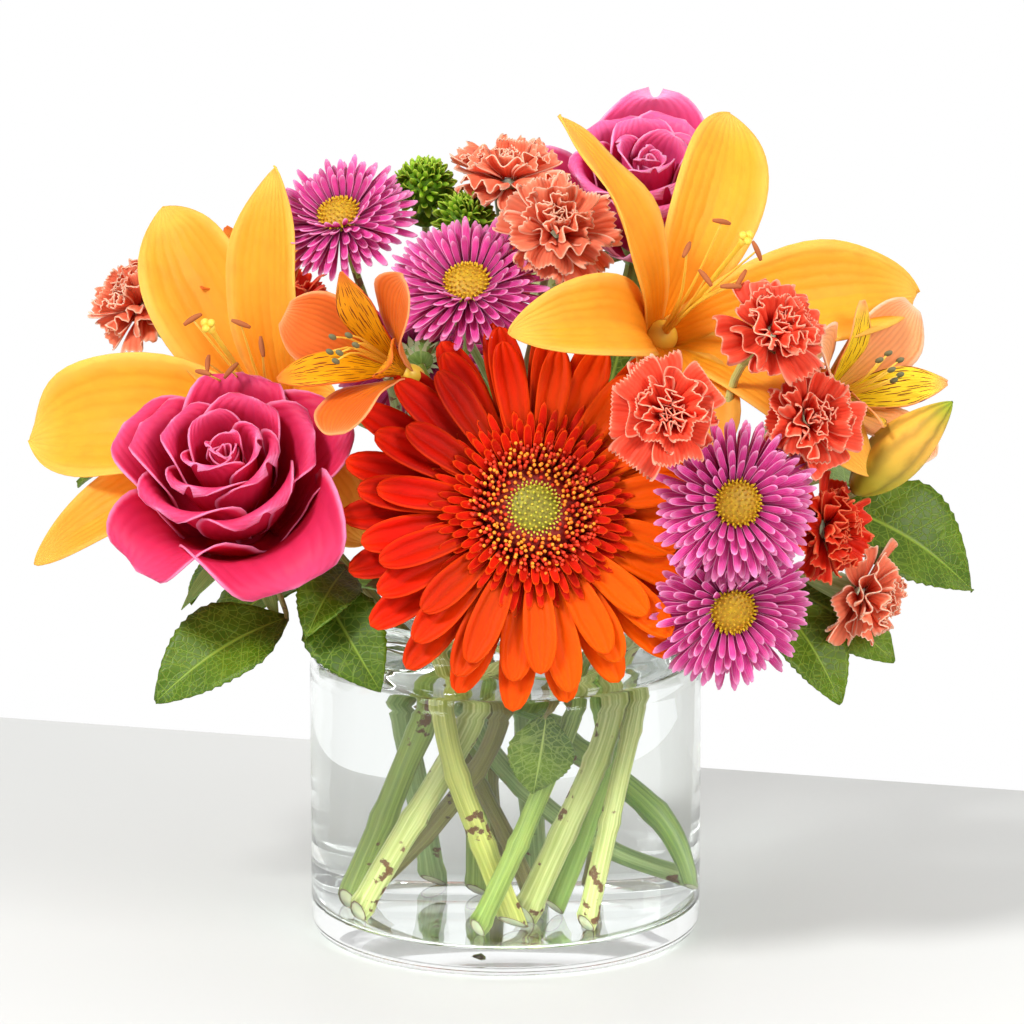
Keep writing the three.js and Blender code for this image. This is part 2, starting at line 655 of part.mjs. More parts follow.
const BLOOMS = [
  ["gerbera", gerbera, "gerbera", "gerbera", [9, -78, 158], 8, 21, {}],
  ["rose_left", rose, "rose", "rose_left", [-85, -50, 155], -14, 52, { size: 1, guards: ROSE_GUARDS }],
  ["lily_right", lily, "lily", "lily_right", [56, -45, 212], 24, 30, { tepals: RIGHT_LILY_TEPALS }],
  ["lily_left", lily, "lily", "lily_left", [-77, -20, 176], -28, 34, { tepals: LEFT_LILY_TEPALS }],
  ["lily_bud", lilyBud, "bud", "lily_right", [109, -50, 156], 62, 44, { length: 48 }],
  ["carnation_front", carnation, "carnation", "carnation_right", [50, -100, 193], 4, 24, {}],
  ["aster_front", aster, "aster", "aster_right", [72, -88, 162], 12, 12, {}],
  ["aster_low", aster, "aster", "aster_right", [71, -82, 126], 14, -8, {}],
  ["alstroemeria_left", alstroemeria, "alstroemeria", "alstroemeria_left", [-40, -72, 205], -42, 28, {}],
  ["aster_middle", aster, "aster", "aster_left", [-12, -40, 222], -6, 52, {}],
  ["aster_high", aster, "aster", "aster_left", [-53, -10, 238], -20, 56, {}],
  ["carnation_middle", carnation, "carnation", "carnation_top", [16, -38, 238], 8, 40, {}],
  ["carnation_high", carnation, "carnation", "carnation_top", [1, 0, 248], 0, 76, {}],
  ["carnation_right", carnation, "carnation", "carnation_right", [83, -78, 214], 30, 34, {}],
  ["carnation_side", carnation, "carnation", "carnation_right", [94, -72, 185], 34, 20, {}],
  ["carnation_red", carnation, "carnation", "carnation_right", [101, -60, 147], 60, 4, {}],
  ["carnation_low", carnation, "carnation", "carnation_right", [114, -48, 122], 58, -12, {}],
  ["rose_back", rose, "rose", "rose_back", [45, 30, 233], 8, 60, { size: 0.85, guards: BACK_ROSE_GUARDS }],
  ["alstroemeria_right", alstroemeria, "alstroemeria", "alstroemeria_right", [109, -38, 187], 50, 26, {}],
  ["alstroemeria_high", alstroemeria, "alstroemeria", "alstroemeria_left", [-80, 16, 206], -40, 62, {}],
  ["button_high", button, "button", "button", [-26, 10, 242], 0, 70, {}],
  ["button_middle", button, "button", "button", [-13, -5, 234], 0, 60, {}],
  ["carnation_left", carnation, "carnation", "carnation_left", [-119, 10, 203], -60, 40, {}],
  ["carnation_rear", carnation, "carnation", "carnation_left", [-72, 58, 190], -145, 34, {}],
  ["aster_rear_left", aster, "aster", "aster_left", [-30, 72, 176], -165, 24, {}],
  ["carnation_rear_high", carnation, "carnation", "carnation_top", [14, 66, 204], 168, 40, {}],
  ["alstroemeria_rear", alstroemeria, "alstroemeria", "alstroemeria_right", [76, 50, 180], 130, 30, {}],
].map(([name, kind, tint, plant, at, azimuth, elevation, more], number) => {
  const roll = kind === lily ? 0 : number * 47;
  return { name, kind, tint, plant, at, azimuth, elevation, roll, seed: number + 3, ...more };
});

// ---- The leaves ----------------------------------------------------------------------------------

// Each from its base to its tip, with the side its upper face looks to, and its width.

const LEAVES = [
  ["rose_left", [-69, -55, 117], [-110, -72, 94], [-0.3, -0.7, 0.6], 31],
  ["rose_left", [-58, -62, 128], [-39, -82, 100], [-0.2, -0.8, 0.5], 26],
  ["rose_left", [-50, -58, 134], [-62, -84, 118], [-0.2, -0.9, 0.3], 20],
  ["salal_right", [106, -22, 146], [150, -25, 118], [0.4, -0.7, 0.6], 36],
  ["salal_right", [86, -44, 120], [106, -60, 90], [0.3, -0.8, 0.4], 24],
  ["salal_right", [86, -30, 122], [124, -38, 98], [0.4, -0.7, 0.5], 26],
  ["salal_right", [104, 12, 146], [132, 40, 116], [0.6, 0.3, 0.7], 36],
  ["salal_right", [62, 34, 130], [88, 62, 98], [0.5, 0.6, 0.6], 34],
  ["salal_left", [-96, 22, 150], [-140, 30, 140], [-0.5, 0.1, 0.8], 38],
  ["salal_left", [-66, 24, 126], [-104, 38, 98], [-0.6, 0.3, 0.7], 36],
  ["salal_left", [-60, 2, 118], [-98, -14, 92], [-0.6, -0.3, 0.7], 32],
  ["salal_back", [-14, 62, 138], [-36, 92, 110], [-0.2, 0.7, 0.6], 36],
  ["salal_back", [18, 62, 142], [40, 94, 118], [0.2, 0.7, 0.6], 36],
  ["salal_back", [-34, 66, 152], [-66, 92, 142], [-0.3, 0.6, 0.7], 36],
  ["salal_back", [28, 52, 152], [40, 68, 188], [0.3, 0.9, -0.3], 30],
  ["salal_back", [-4, 58, 150], [-6, 82, 180], [-0.1, 0.8, -0.5], 30],
  ["aster_right", [12, -42, 83], [8, -40, 57], [0.1, -1, 0.1], 20],
].map(([plant, base, tip, face, width]) => ({
  plant,
  base: vec(...base),
  tip: vec(...tip),
  face: vec(...face).normalize(),
  width,
}));

// The surface of a leaf folded a little along its midrib and bowed along its length. Its first row is
// the stalk, from `near` on the stem.
const STALK_ROWS = 1;
const leafRows = (leaf) => STALK_ROWS + (leaf.width > 25 ? 4 : 3);

function leafSurface(leaf, near, grow) {
  const { base, tip, face, width } = leaf;
  const along = tip.clone().sub(base);
  const length = along.length();
  along.normalize();
  const across = vec(0, 0, 0).crossVectors(face, along).normalize();
  const upward = vec(0, 0, 0).crossVectors(along, across);
  const shape = { root: 0.1, widest: 0.42, tip: 0, blunt: 0.85 };
  const stalkEnd = STALK_ROWS / leafRows(leaf);
  return (u, v) => {
    if (u < stalkEnd) {
      const stalk = near.clone().lerp(base, u / stalkEnd);
      return stalk.addScaledVector(across, (1.2 + 2 * grow) * v);
    }
    const w = (u - stalkEnd) / (1 - stalkEnd);
    const half = (width / 2) * outline(Math.min(w, 1), shape) + grow;
    const bow = 0.1 * length * Math.sin(Math.PI * w) + 0.26 * half * Math.abs(v);
    const place = base.clone().addScaledVector(along, w * (length + grow));
    return place.addScaledVector(across, half * v).addScaledVector(upward, bow);
  };
}

function leafBlade(leaf, grow) {
  const main = stems.find((rod) => rod.main && rod.plant === leaf.plant);
  const near = nearestOn(main.points, leaf.base);
  return blade(leafRows(leaf), 2, LEAF + 2 * grow, leafSurface(leaf, near, grow));
}

// ---- The plants ----------------------------------------------------------------------------------

// The way each stem takes: through the water and the neck, to where its branches part. A plant of one
// bloom has no `fork`. `radius` is the stem's, `twig` its branches'.

const PLANTS = [
  {
    name: "lily_right",
    radius: 3.6,
    twig: 2,
    way: [[-42, -22, 10], [-9, -20, 77], [3, -15, 104]],
    fork: [22, -10, 152],
  },
  {
    name: "rose_back",
    radius: 3.3,
    twig: 2,
    way: [[-41, -5, 10], [-18, -5, 79], [-8, -1, 104], [14, 12, 160]],
  },
  {
    name: "carnation_right",
    radius: 3.8,
    twig: 1.5,
    way: [[5, -17, 10], [31, -19, 84], [36, -18, 104]],
    fork: [58, -42, 136],
  },
  {
    name: "aster_right",
    radius: 3,
    twig: 1.5,
    way: [[-8, -38, 10], [20, -35, 83], [26, -34, 104]],
    fork: [42, -50, 122],
  },
  {
    name: "lily_left",
    radius: 3.4,
    twig: 2,
    way: [[2, -28, 9], [-13, -29, 60], [-22, -25, 104], [-30, -18, 134]],
  },
  {
    name: "alstroemeria_right",
    radius: 3,
    twig: 2,
    way: [[23, -33, 9], [37, -16, 84], [41, -2, 104]],
    fork: [62, 4, 138],
  },
  {
    name: "gerbera",
    radius: 3,
    twig: 2,
    way: [[12, -6, 9], [26, -9, 70], [19, -22, 104], [12, -42, 134]],
  },
  {
    name: "rose_left",
    radius: 3.4,
    twig: 2,
    way: [[52, -2, 13], [34, 2, 45], [14, 9, 62], [-19, 8, 104], [-46, -16, 120]],
  },
  {
    name: "alstroemeria_left",
    radius: 2.7,
    twig: 1.8,
    way: [[45, 12, 12], [18, 14, 31], [-4, 19, 60], [-20, 22, 104]],
    fork: [-34, -14, 166],
  },
  {
    name: "carnation_top",
    radius: 2.5,
    twig: 1.4,
    way: [[-33, 10, 9], [-4, 4, 62], [4, -3, 104]],
    fork: [3, -6, 172],
  },
  {
    name: "aster_left",
    radius: 2.5,
    twig: 1.4,
    way: [[-6, 24, 9], [-7, 24, 60], [-12, 28, 104]],
    fork: [-24, 26, 150],
  },
  {
    name: "button",
    radius: 2.4,
    twig: 1.4,
    way: [[6, 36, 9], [4, 36, 60], [6, 36, 104]],
    fork: [6, 36, 154],
  },
  {
    name: "carnation_left",
    radius: 2.4,
    twig: 1.4,
    way: [[-14, 38, 9], [-20, 34, 60], [-30, 24, 104]],
    fork: [-62, 22, 146],
  },
  {
    name: "salal_left",
    radius: 2,
    twig: 1,
    way: [[6, 16, 9], [-10, 16, 60], [-40, 8, 104]],
    fork: [-62, 10, 130],
  },
  {
    name: "salal_right",
    radius: 2,
    twig: 1,
    way: [[18, 24, 9], [24, 22, 60], [36, 18, 104]],
    fork: [66, 6, 128],
  },
  {
    name: "salal_back",
    radius: 2,
    twig: 1,
    way: [[-2, 46, 9], [-4, 46, 60], [-6, 44, 104]],
    fork: [-6, 50, 136],
  },
];

// The stems, and the branch to each bloom.
function stemRods() {
  const rods = [];
  for (const plant of PLANTS) {
    const way = plant.way.map((place) => vec(...place));
    const fork = plant.fork ? vec(...plant.fork) : null;
    const points = fork ? [...way, fork] : way;
    const main = { plant: plant.name, radius: plant.radius, main: true, points };
    for (const bloom of BLOOMS.filter((item) => item.plant === plant.name)) {
      const forward = facingOf(bloom.azimuth, bloom.elevation);
      const reach = bloom.kind.seat * (bloom.size ?? 1);
      const end = vec(...bloom.at).addScaledVector(forward, 1.5 - reach);
      const back = end.clone().addScaledVector(forward, -15);
      if (fork) {
        const middle = fork.clone().lerp(back, 0.5).add(vec(0, 0, -3));
        rods.push({ plant: plant.name, radius: plant.twig, points: [fork, middle, back, end] });
      } else {
        main.points.push(back, end);
      }
    }
    rods.push(main);
  }
  return rods;
}

// The place on a polyline nearest to a point.
function nearestOn(points, target) {
  let best = null;
  for (let i = 0; i + 1 < points.length; i++) {
    const place = new THREE.Line3(points[i], points[i + 1]).closestPointToPoint(target, true, vec(0, 0, 0));
    if (!best || place.distanceTo(target) < best.distanceTo(target)) best = place;
  }
  return best;
}

// The rods of different plants are pushed apart until they clear each other, and kept inside the
// glass. Their ends above the vase stay where they are.
function pushApart(rods) {
  const course = (rod) => new THREE.CatmullRomCurve3(rod.points, false, "centripetal");
  const respace = (rod, spacing) => {
    const curve = course(rod);
    rod.points = curve.getSpacedPoints(Math.max(3, Math.round(curve.getLength() / spacing)));
  };
  rods.forEach((rod) => respace(rod, 9));
  for (let round = 0; round < 160; round++) {
    for (const one of rods) {
      const last = one.points.length - 1;
      for (const other of rods.filter((rod) => rod.plant !== one.plant)) {
        const needed = one.radius + other.radius + CLEAR;
        one.points.forEach((point, i) => {
          if ((i === 0 || i === last) && point.z > VASE_HEIGHT) return;
          const away = point.clone().sub(nearestOn(other.points, point));
          const missing = needed - away.length();
          if (missing > 0) point.addScaledVector(away.normalize(), 0.5 * missing + 0.05);
        });
      }
      if (one.main) one.points.forEach((point) => keepInside(point, one.radius));
    }
  }
  rods.forEach((rod) => respace(rod, rod.main ? 28 : 23));
}

function keepInside(point, radius) {
  if (point.z > VASE_HEIGHT + 6) return;
  let limit = VASE_RADIUS - VASE_WALL;
  if (point.z > VASE_SHOULDER - 14) limit = NECK_RADIUS - VASE_WALL;
  limit -= radius + 1;
  const from = Math.hypot(point.x, point.y);
  if (from > limit) point.set((point.x * limit) / from, (point.y * limit) / from, point.z);
  point.z = Math.max(point.z, VASE_FLOOR + GAP + 0.8 * radius);
}

// ---- Putting it together -------------------------------------------------------------------------

const vaseProfile = [
  [0, 0],
  [VASE_RADIUS - 4, 0],
  [VASE_RADIUS - 1.2, 1.3],
  [VASE_RADIUS, 4.5],
  [VASE_RADIUS, VASE_SHOULDER - 5],
  [VASE_RADIUS - 2, VASE_SHOULDER - 1],
  [NECK_RADIUS + 1.5, VASE_SHOULDER + 1],
  [NECK_RADIUS - 0.3, VASE_HEIGHT - 6],
  [NECK_RADIUS + 1.6, VASE_HEIGHT - 3.4],
  [NECK_RADIUS + 0.6, VASE_HEIGHT - 0.6],
  [NECK_RADIUS - 1.6, VASE_HEIGHT],
  [NECK_RADIUS - 3.3, VASE_HEIGHT - 1.4],
  [NECK_RADIUS - 3.5, VASE_SHOULDER + 3],
  [NECK_RADIUS - 1, VASE_SHOULDER - 1],
  [VASE_RADIUS - VASE_WALL, VASE_SHOULDER - 8],
  [VASE_RADIUS - VASE_WALL, VASE_FLOOR + 5],
  [VASE_RADIUS - VASE_WALL - 2, VASE_FLOOR + 1.2],
  [VASE_RADIUS - VASE_WALL - 6, VASE_FLOOR],
  [0, VASE_FLOOR],
];
const waterRadius = VASE_RADIUS - VASE_WALL - GAP;
const waterProfile = [
  [0, VASE_FLOOR + GAP],
  [waterRadius - 6, VASE_FLOOR + GAP],
  [waterRadius, VASE_FLOOR + 5.5 + GAP],
  [waterRadius, WATER_LEVEL - 3.6],
  [waterRadius - 3, WATER_LEVEL],
  [0, WATER_LEVEL],
];

const nodes = [];
const kept = []; // what later bodies are cut back from: each built solid, grown by the gap

const overlaps = (a, b) => [0, 1, 2].every((i) => a.min[i] < b.max[i] && b.min[i] < a.max[i]);

// A solid cut back from everything built before it, but not from its own plant.
function cutBack(solid, own = null) {
  const box = solid.boundingBox();
  const others = kept.filter((item) => own === null || item.owner !== own);
  const near = others.filter((item) => overlaps(item.box, box));
  return near.length ? solid.subtract(fused(near.map((item) => item.solid))) : solid;
}

function keep(solid, owner = null) {
  kept.push({ solid, owner, box: solid.boundingBox() });
}

const stems = stemRods();
pushApart(stems);

function greenParts(plant, grow) {
  const parts = [];
  for (const rod of stems.filter((item) => item.plant === plant.name)) {
    const sides = rod.main ? (rod.radius > 2.8 ? 5 : 4) : 3;
    parts.push(tube(rod.points, rod.radius, sides, rod.points.length - 1, grow));
  }
  for (const bloom of BLOOMS.filter((item) => item.plant === plant.name)) {
    const calyx = bloom.kind.calyx(bloom, grow);
    if (calyx.length) parts.push(moved(fused(calyx), standing(bloom)));
  }
  return fused(parts);
}

const green = new Map();
for (const plant of PLANTS) {
  green.set(plant.name, largest(cutBack(greenParts(plant, 0))));
  keep(greenParts(plant, GAP), plant.name);
}

for (const bloom of BLOOMS) {
  const place = standing(bloom);
  for (const part of ["disc", "bloom"]) {
    if (!bloom.kind[part]) continue;
    const name = part === "disc" ? `${bloom.name}_disc` : bloom.name;
    const tint = part === "disc" ? `${bloom.tint}Disc` : bloom.tint;
    const solid = moved(fused(bloom.kind[part](bloom, 0)), place);
    nodes.push({ name, tint, solid: largest(cutBack(solid)) });
    keep(moved(fused(bloom.kind[part](bloom, GAP)), place));
  }
}

for (const leaf of LEAVES) {
  const stem = green.get(leaf.plant);
  green.set(leaf.plant, largest(stem.add(cutBack(leafBlade(leaf, 0), leaf.plant))));
  keep(leafBlade(leaf, GAP), leaf.plant);
}

for (const plant of PLANTS) {
  const tint = plant.name.startsWith("salal") ? "leafy" : "stem";
  nodes.push({ name: `${plant.name}_stem`, tint, solid: green.get(plant.name) });
}

const water = largest(cutBack(turned(waterProfile, VASE_SEGMENTS)));
nodes.push({ name: "water", tint: "water", solid: water });
nodes.push({ name: "vase", tint: "glass", solid: turned(vaseProfile, VASE_SEGMENTS) });

const bouquet = new THREE.Group();
bouquet.name = "bouquet";
for (const { name, tint, solid } of nodes) {
  const mesh = new THREE.Mesh(geometryOf(solid), FINISH[tint]);
  mesh.name = name;
  bouquet.add(mesh);
}

export default bouquet;
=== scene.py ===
"""A mixed bouquet in a squat glass vase of water.

Lengths are in millimetres until a piece is finished, and metres after that. The vase stands on the
floor at the origin, and the front of the bouquet looks towards -Y.
"""

from math import cos, exp, pi, radians, sin, sqrt, tau
from types import SimpleNamespace

import bmesh
import bpy
from mathutils import Matrix, Vector


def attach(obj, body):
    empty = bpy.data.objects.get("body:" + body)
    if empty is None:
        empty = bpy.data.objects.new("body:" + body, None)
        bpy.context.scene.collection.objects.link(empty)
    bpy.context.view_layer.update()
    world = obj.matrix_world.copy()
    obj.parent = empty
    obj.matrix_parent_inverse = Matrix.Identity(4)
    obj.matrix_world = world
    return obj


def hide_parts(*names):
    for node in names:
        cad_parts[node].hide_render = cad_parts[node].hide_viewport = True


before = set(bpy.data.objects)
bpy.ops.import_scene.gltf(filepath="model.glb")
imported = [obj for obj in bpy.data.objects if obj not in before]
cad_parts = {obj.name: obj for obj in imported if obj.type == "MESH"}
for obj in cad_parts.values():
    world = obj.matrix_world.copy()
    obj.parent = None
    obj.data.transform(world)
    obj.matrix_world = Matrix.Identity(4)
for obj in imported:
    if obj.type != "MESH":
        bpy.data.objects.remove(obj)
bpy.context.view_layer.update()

# ---- The vase ----
# A heavy cylinder of clear soda glass, blown and turned in one piece. It has a thick flat foot, a
# rounded shoulder, a short neck and a rolled lip that was melted smooth.

MM = 0.001
VASE_PROFILE = [
    (0, 0), (40, 0), (59, 0), (61.2, 0.3), (62.8, 1.6), (63.5, 4.2), (63.5, 12), (63.5, 45), (63.5, 78),
    (63.5, 88), (63.1, 91), (62, 93.6), (60, 95.3), (57.6, 96.4), (56, 97.6), (55.1, 99.6), (54.8, 101.5),
    (55.1, 103.2), (56.3, 105), (56.8, 107), (56.1, 108.9), (54.4, 109.9), (52.9, 109.6), (51.8, 108.4),
    (51.6, 106), (51.6, 101), (51.9, 98.5), (53, 96), (55.6, 93.6), (58.4, 90.6), (59.9, 88), (60.2, 85),
    (60.2, 45), (60.2, 16), (59.8, 13), (58.6, 10.6), (56.4, 8.9), (53.5, 8.2), (40, 8), (0, 8),
]


class Tree:
    """The nodes of a material, a node group or the world, with short calls that add to them."""

    def __init__(self, tree):
        self.nodes, self.link = tree.nodes, tree.links.new

    def node(self, kind, inputs=None, **settings):
        """A shader node with its settings, and its inputs set to values or linked to other sockets."""
        made = self.nodes.new("ShaderNode" + kind)
        for key, value in settings.items():
            setattr(made, key, value)
        for key, value in (inputs or {}).items():
            if isinstance(value, bpy.types.NodeSocket):
                self.link(value, made.inputs[key])
            else:
                made.inputs[key].default_value = value
        return made

    def math(self, operation, a, b=0.0, c=0.0):
        """One Math node."""
        return self.node("Math", {0: a, 1: b, 2: c}, operation=operation).outputs[0]

    def less(self, a, b):
        """a less b."""
        return self.math("SUBTRACT", a, b)

    def times(self, a, b, plus=None):
        """a times b, and another value added to it where there is one."""
        return self.math("MULTIPLY", a, b) if plus is None else self.math("MULTIPLY_ADD", a, b, plus)

    def step(self, value, low, high):
        """0 below low and 1 above high, smoothly between."""
        limits = {"Value": value, "From Min": low, "From Max": high}
        return self.node("MapRange", limits, interpolation_type="SMOOTHSTEP").outputs["Result"]

    def mixed(self, amount, a, b, how="MIX"):
        """One colour over another."""
        return self.node("Mix", {0: amount, 6: a, 7: b}, data_type="RGBA", blend_type=how).outputs[2]

    def split(self, vector):
        return self.node("SeparateXYZ", {0: vector}).outputs

    def spots(self):
        """The place on the object."""
        return self.node("TexCoord").outputs["Object"]

    def petal_map(self):
        """The place on a petal, leaf or stem: across it and along it, from 0 to 1."""
        return self.node("UVMap", uv_map="petal").outputs[0]

    def tone(self):
        return self.node("Attribute", attribute_name="tone").outputs["Fac"]

    def noise(self, scale, detail=2.0, vector=None):
        """Cloudy noise on the object, or along another vector."""
        inputs = {"Vector": vector or self.spots(), "Scale": scale, "Detail": detail}
        return self.node("TexNoise", inputs).outputs["Fac"]

    def relief(self, shader, height, strength, distance):
        """Fine relief that is only in the light, in metres."""
        bump = self.node("Bump", {"Strength": strength, "Distance": distance, "Height": height})
        self.link(bump.outputs["Normal"], shader.inputs["Normal"])


def material(name, **shine):
    """A material with one Principled shader, and the tree and shader to build on."""
    made = bpy.data.materials.new(name)
    made.use_nodes = True
    made.node_tree.nodes.clear()
    on = Tree(made.node_tree)
    values = {key.replace("_", " ").title().replace("Ior", "IOR"): value for key, value in shine.items()}
    shader = on.node("BsdfPrincipled", values)
    on.node("OutputMaterial", {"Surface": shader.outputs["BSDF"]})
    return made, on, shader


def in_scene(name, data):
    """A mesh, lamp or camera as an object of the scene."""
    made = bpy.data.objects.new(name, data)
    bpy.context.scene.collection.objects.link(made)
    return made


def finished(name, bm, replaced, look, where=None, thickness=0.0):
    """A bmesh in millimetres, moved to its place, as a finished piece in metres, on the body, with
    its material. A petal or leaf gets its thickness, in millimetres, from a modifier."""
    if where:
        bmesh.ops.transform(bm, matrix=where, verts=bm.verts)
    bmesh.ops.scale(bm, vec=(MM, MM, MM), verts=bm.verts)
    mesh = bpy.data.meshes.new(name)
    bm.to_mesh(mesh)
    bm.free()
    mesh.shade_smooth()
    mesh.materials.append(look)
    piece = in_scene(name, mesh)
    if thickness:
        shell = piece.modifiers.new("Thickness", "SOLIDIFY")
        shell.thickness = thickness * MM
        shell.offset = 0
    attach(piece, "root")
    if replaced:
        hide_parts(*replaced)


def turned(profile, steps=128):
    """A closed body turned about Z from (radius, height) pairs that start and end on the axis."""
    bm = bmesh.new()
    points = [bm.verts.new((radius, 0, height)) for radius, height in profile]
    edges = [bm.edges.new(pair) for pair in zip(points, points[1:])]
    bmesh.ops.spin(
        bm, geom=points + edges, cent=(0, 0, 0), axis=(0, 0, 1), angle=tau, steps=steps, use_merge=True
    )
    bmesh.ops.remove_doubles(bm, verts=bm.verts, dist=1e-4)
    bmesh.ops.recalc_face_normals(bm, faces=bm.faces)
    return bm


def clear_look(name, colour, ior, ripples, strength, distance, faint):
    """Glass or water with faint ripples, given as their scale and detail. A shadow ray passes it with
    a faint tint, so that the lamps light what stands in it."""
    made, on, shader = material(
        name, base_color=(*colour, 1), roughness=0.0, ior=ior, transmission_weight=1.0,
        specular_tint=(0.4, 0.4, 0.4, 1),
    )
    on.relief(shader, on.noise(*ripples), strength, distance)
    clear = on.node("BsdfTransparent", {"Color": (*faint, 1)}).outputs["BSDF"]
    ray = on.node("LightPath").outputs["Is Shadow Ray"]
    both = on.node("MixShader", {0: ray, 1: shader.outputs["BSDF"], 2: clear})
    out = next(item for item in on.nodes if item.type == "OUTPUT_MATERIAL")
    on.link(both.outputs[0], out.inputs["Surface"])
    return made


glass = clear_look("clear_glass", (0.99, 1.0, 0.995), 1.5, (22.0, 1.0), 0.05, 0.002, (0.9, 0.92, 0.91))
finished("vase_glass_body", turned(VASE_PROFILE), ["vase"], glass)

# ---- The water ----
# Clear tap water up to the shoulder. It reaches a hair into the glass, so that no air shows between
# them, and its top edge climbs the glass a little.

WATER_PROFILE = [
    (0, 7.9), (40, 7.9), (53.6, 8.1), (56.5, 8.8), (58.7, 10.5), (59.9, 12.9), (60.3, 16), (60.3, 45),
    (60.3, 84), (60, 87.4), (58.9, 89.8), (58.2, 90.4), (57.3, 90.0), (56, 89.8), (50, 89.7), (0, 89.7),
]
water = clear_look("still_water", (0.99, 1.0, 0.997), 1.333, (30.0, 0.0), 0.03, 0.001, (0.96, 0.98, 0.98))
finished("water_body", turned(WATER_PROFILE), ["water"], water)

# ---- The gerbera ----
# One large daisy on a bare fleshy stem. Its ray florets lie in overlapping layers, then come short
# inner florets, a ring of tiny dark florets with yellow tips, and a green button of closed ones.

GOLDEN_ANGLE = radians(137.508)
PETAL_THICKNESS, FINE_PETAL = 0.5, 0.35


def stream(seed):
    """A repeatable stream of numbers from 0 to 1, the same one that the solids are drawn with."""
    factor, prime = 16807, 2147483647
    state = seed * 7919 + 17
    while True:
        state = state * factor % prime
        yield state / prime


def mix(a, b, t):
    """From a at 0 to b at 1."""
    return a + (b - a) * t


def standing(at, azimuth, elevation, roll=0):
    """The place of a bloom that is modelled facing +Z from the origin. It looks along a compass angle
    from the front towards +X, and an angle above the table."""
    a, e = radians(azimuth), radians(elevation)
    forward = Vector((sin(a) * cos(e), -cos(a) * cos(e), sin(e)))
    right = Vector((cos(a), sin(a), 0))
    turn = Matrix((right, forward.cross(right), forward)).transposed().to_4x4()
    return Matrix.Translation(at) @ turn @ Matrix.Rotation(radians(roll), 4, "Z")


def blooms(rows):
    """The rows of a table of blooms: name, seed, place, azimuth and elevation, then what it adds. The
    seed gives each its roll and its stream of numbers."""
    for name, seed, at, azimuth, elevation, *more in rows:
        yield name, standing(at, azimuth, elevation, seed * 47), stream(seed + 3), *more


def shapes(columns, *rows, **shared):
    """Petal shapes from a table: the names of its columns, its rows, and what all of them share."""
    return [{**shared, **dict(zip(columns.split(), row))} for row in rows]


def growth():
    """A mesh for petals, leaves or stems: the grid of each keeps its own UV map and a tone."""
    bm = bmesh.new()
    bm.loops.layers.uv.new("petal")
    bm.verts.layers.float.new("tone")
    return bm


def sheet(bm, rows, columns, place, tone):
    """A petal or leaf: a grid moved to place(u, v), u from root to tip and v from -1 to 1 across. Its
    rows lie closer together towards the tip."""
    made = bmesh.ops.create_grid(bm, x_segments=columns, y_segments=rows, size=1.0, calc_uvs=True)["verts"]
    layer = bm.verts.layers.float["tone"]
    for vert in made:
        vert.co = place(1 - (0.5 - vert.co.y / 2) ** 1.5, -vert.co.x)
        vert[layer] = tone
    return made


def outline(u, root, widest, tip, blunt, neck=1.0):
    """How wide a petal is at u: root at 0, 1 at widest and tip at 1."""
    if u < widest:
        return mix(root, 1, sin(pi / 2 * u / widest) ** neck)
    rest = max(cos(pi / 2 * (u - widest) / (1 - widest)), 0)
    return mix(tip, 1, rest**blunt)


# What a petal's shape has where its own table says nothing.
PLAIN = dict(
    phase=0, waves=1, wave=0, wrap=1e6, frill=0, teeth=3, ruffle=0, ruffles=3, groove=0, skew=0, twist=0,
    roll=0, flare=0, rim=0, root=0.3, widest=0.6, tip=0.0, blunt=0.6, neck=1.0,
)


def petal_place(shape):
    """The surface of a petal on a bloom that faces +Z. Its middle line starts `start` from the axis and
    `rise` up, leans `lift` degrees above the bloom's plane, and the lean changes by `curl` on the way,
    by `flare` near the tip and by `rim` at the very tip. `wrap` is the radius it is curved to across
    its width. The rest are small: waves, teeth, ruffles, a groove, a skew, a twist and a rolled edge."""
    p = SimpleNamespace(**{**PLAIN, **shape})
    turn, half = radians(p.angle), p.width / 2
    count = 28
    line = []
    out, up = p.start, p.rise
    for k in range(count + 1):
        u = k / count
        lean = radians(p.lift + p.curl * u + p.flare * u**3 + p.rim * u**9)
        line.append((out, up, lean))
        out += p.length / count * cos(lean)
        up += p.length / count * sin(lean)

    def place(u, v):
        reach = 1 - p.frill * (0.5 - 0.5 * cos(pi * p.teeth * (v + 1) + p.phase))
        along = min(max(u * reach, 0), 1) * count
        k = min(int(along), count - 1)
        out, up, lean = (mix(a, b, along - k) for a, b in zip(line[k], line[k + 1]))
        side = half * outline(min(u, 1), p.root, p.widest, p.tip, p.blunt, p.neck) * v
        lifted = p.wrap * (1 - cos(side / p.wrap)) + p.skew * u * side / half
        lifted += p.wave * u * sin(p.waves * pi * v + p.phase)
        lifted += p.ruffle * u * abs(v) ** 3 * sin(tau * p.ruffles * u + p.phase + 2 * v)
        lifted -= p.roll * u**5 * v * v
        lifted -= p.groove * exp(-((v / 0.2) ** 2)) * sin(pi * min(u * 1.1, 1))
        across = p.wrap * sin(side / p.wrap)
        bend = radians(p.twist) * u
        across, lifted = (
            across * cos(bend) - lifted * sin(bend),
            across * sin(bend) + lifted * cos(bend),
        )
        radial = out - sin(lean) * lifted
        return Vector((
            radial * cos(turn) - across * sin(turn),
            radial * sin(turn) + across * cos(turn),
            up + cos(lean) * lifted,
        ))

    return place


def own_tone(phase):
    """A petal's tone, scattered from its phase."""
    return (phase * 7.3) % 1


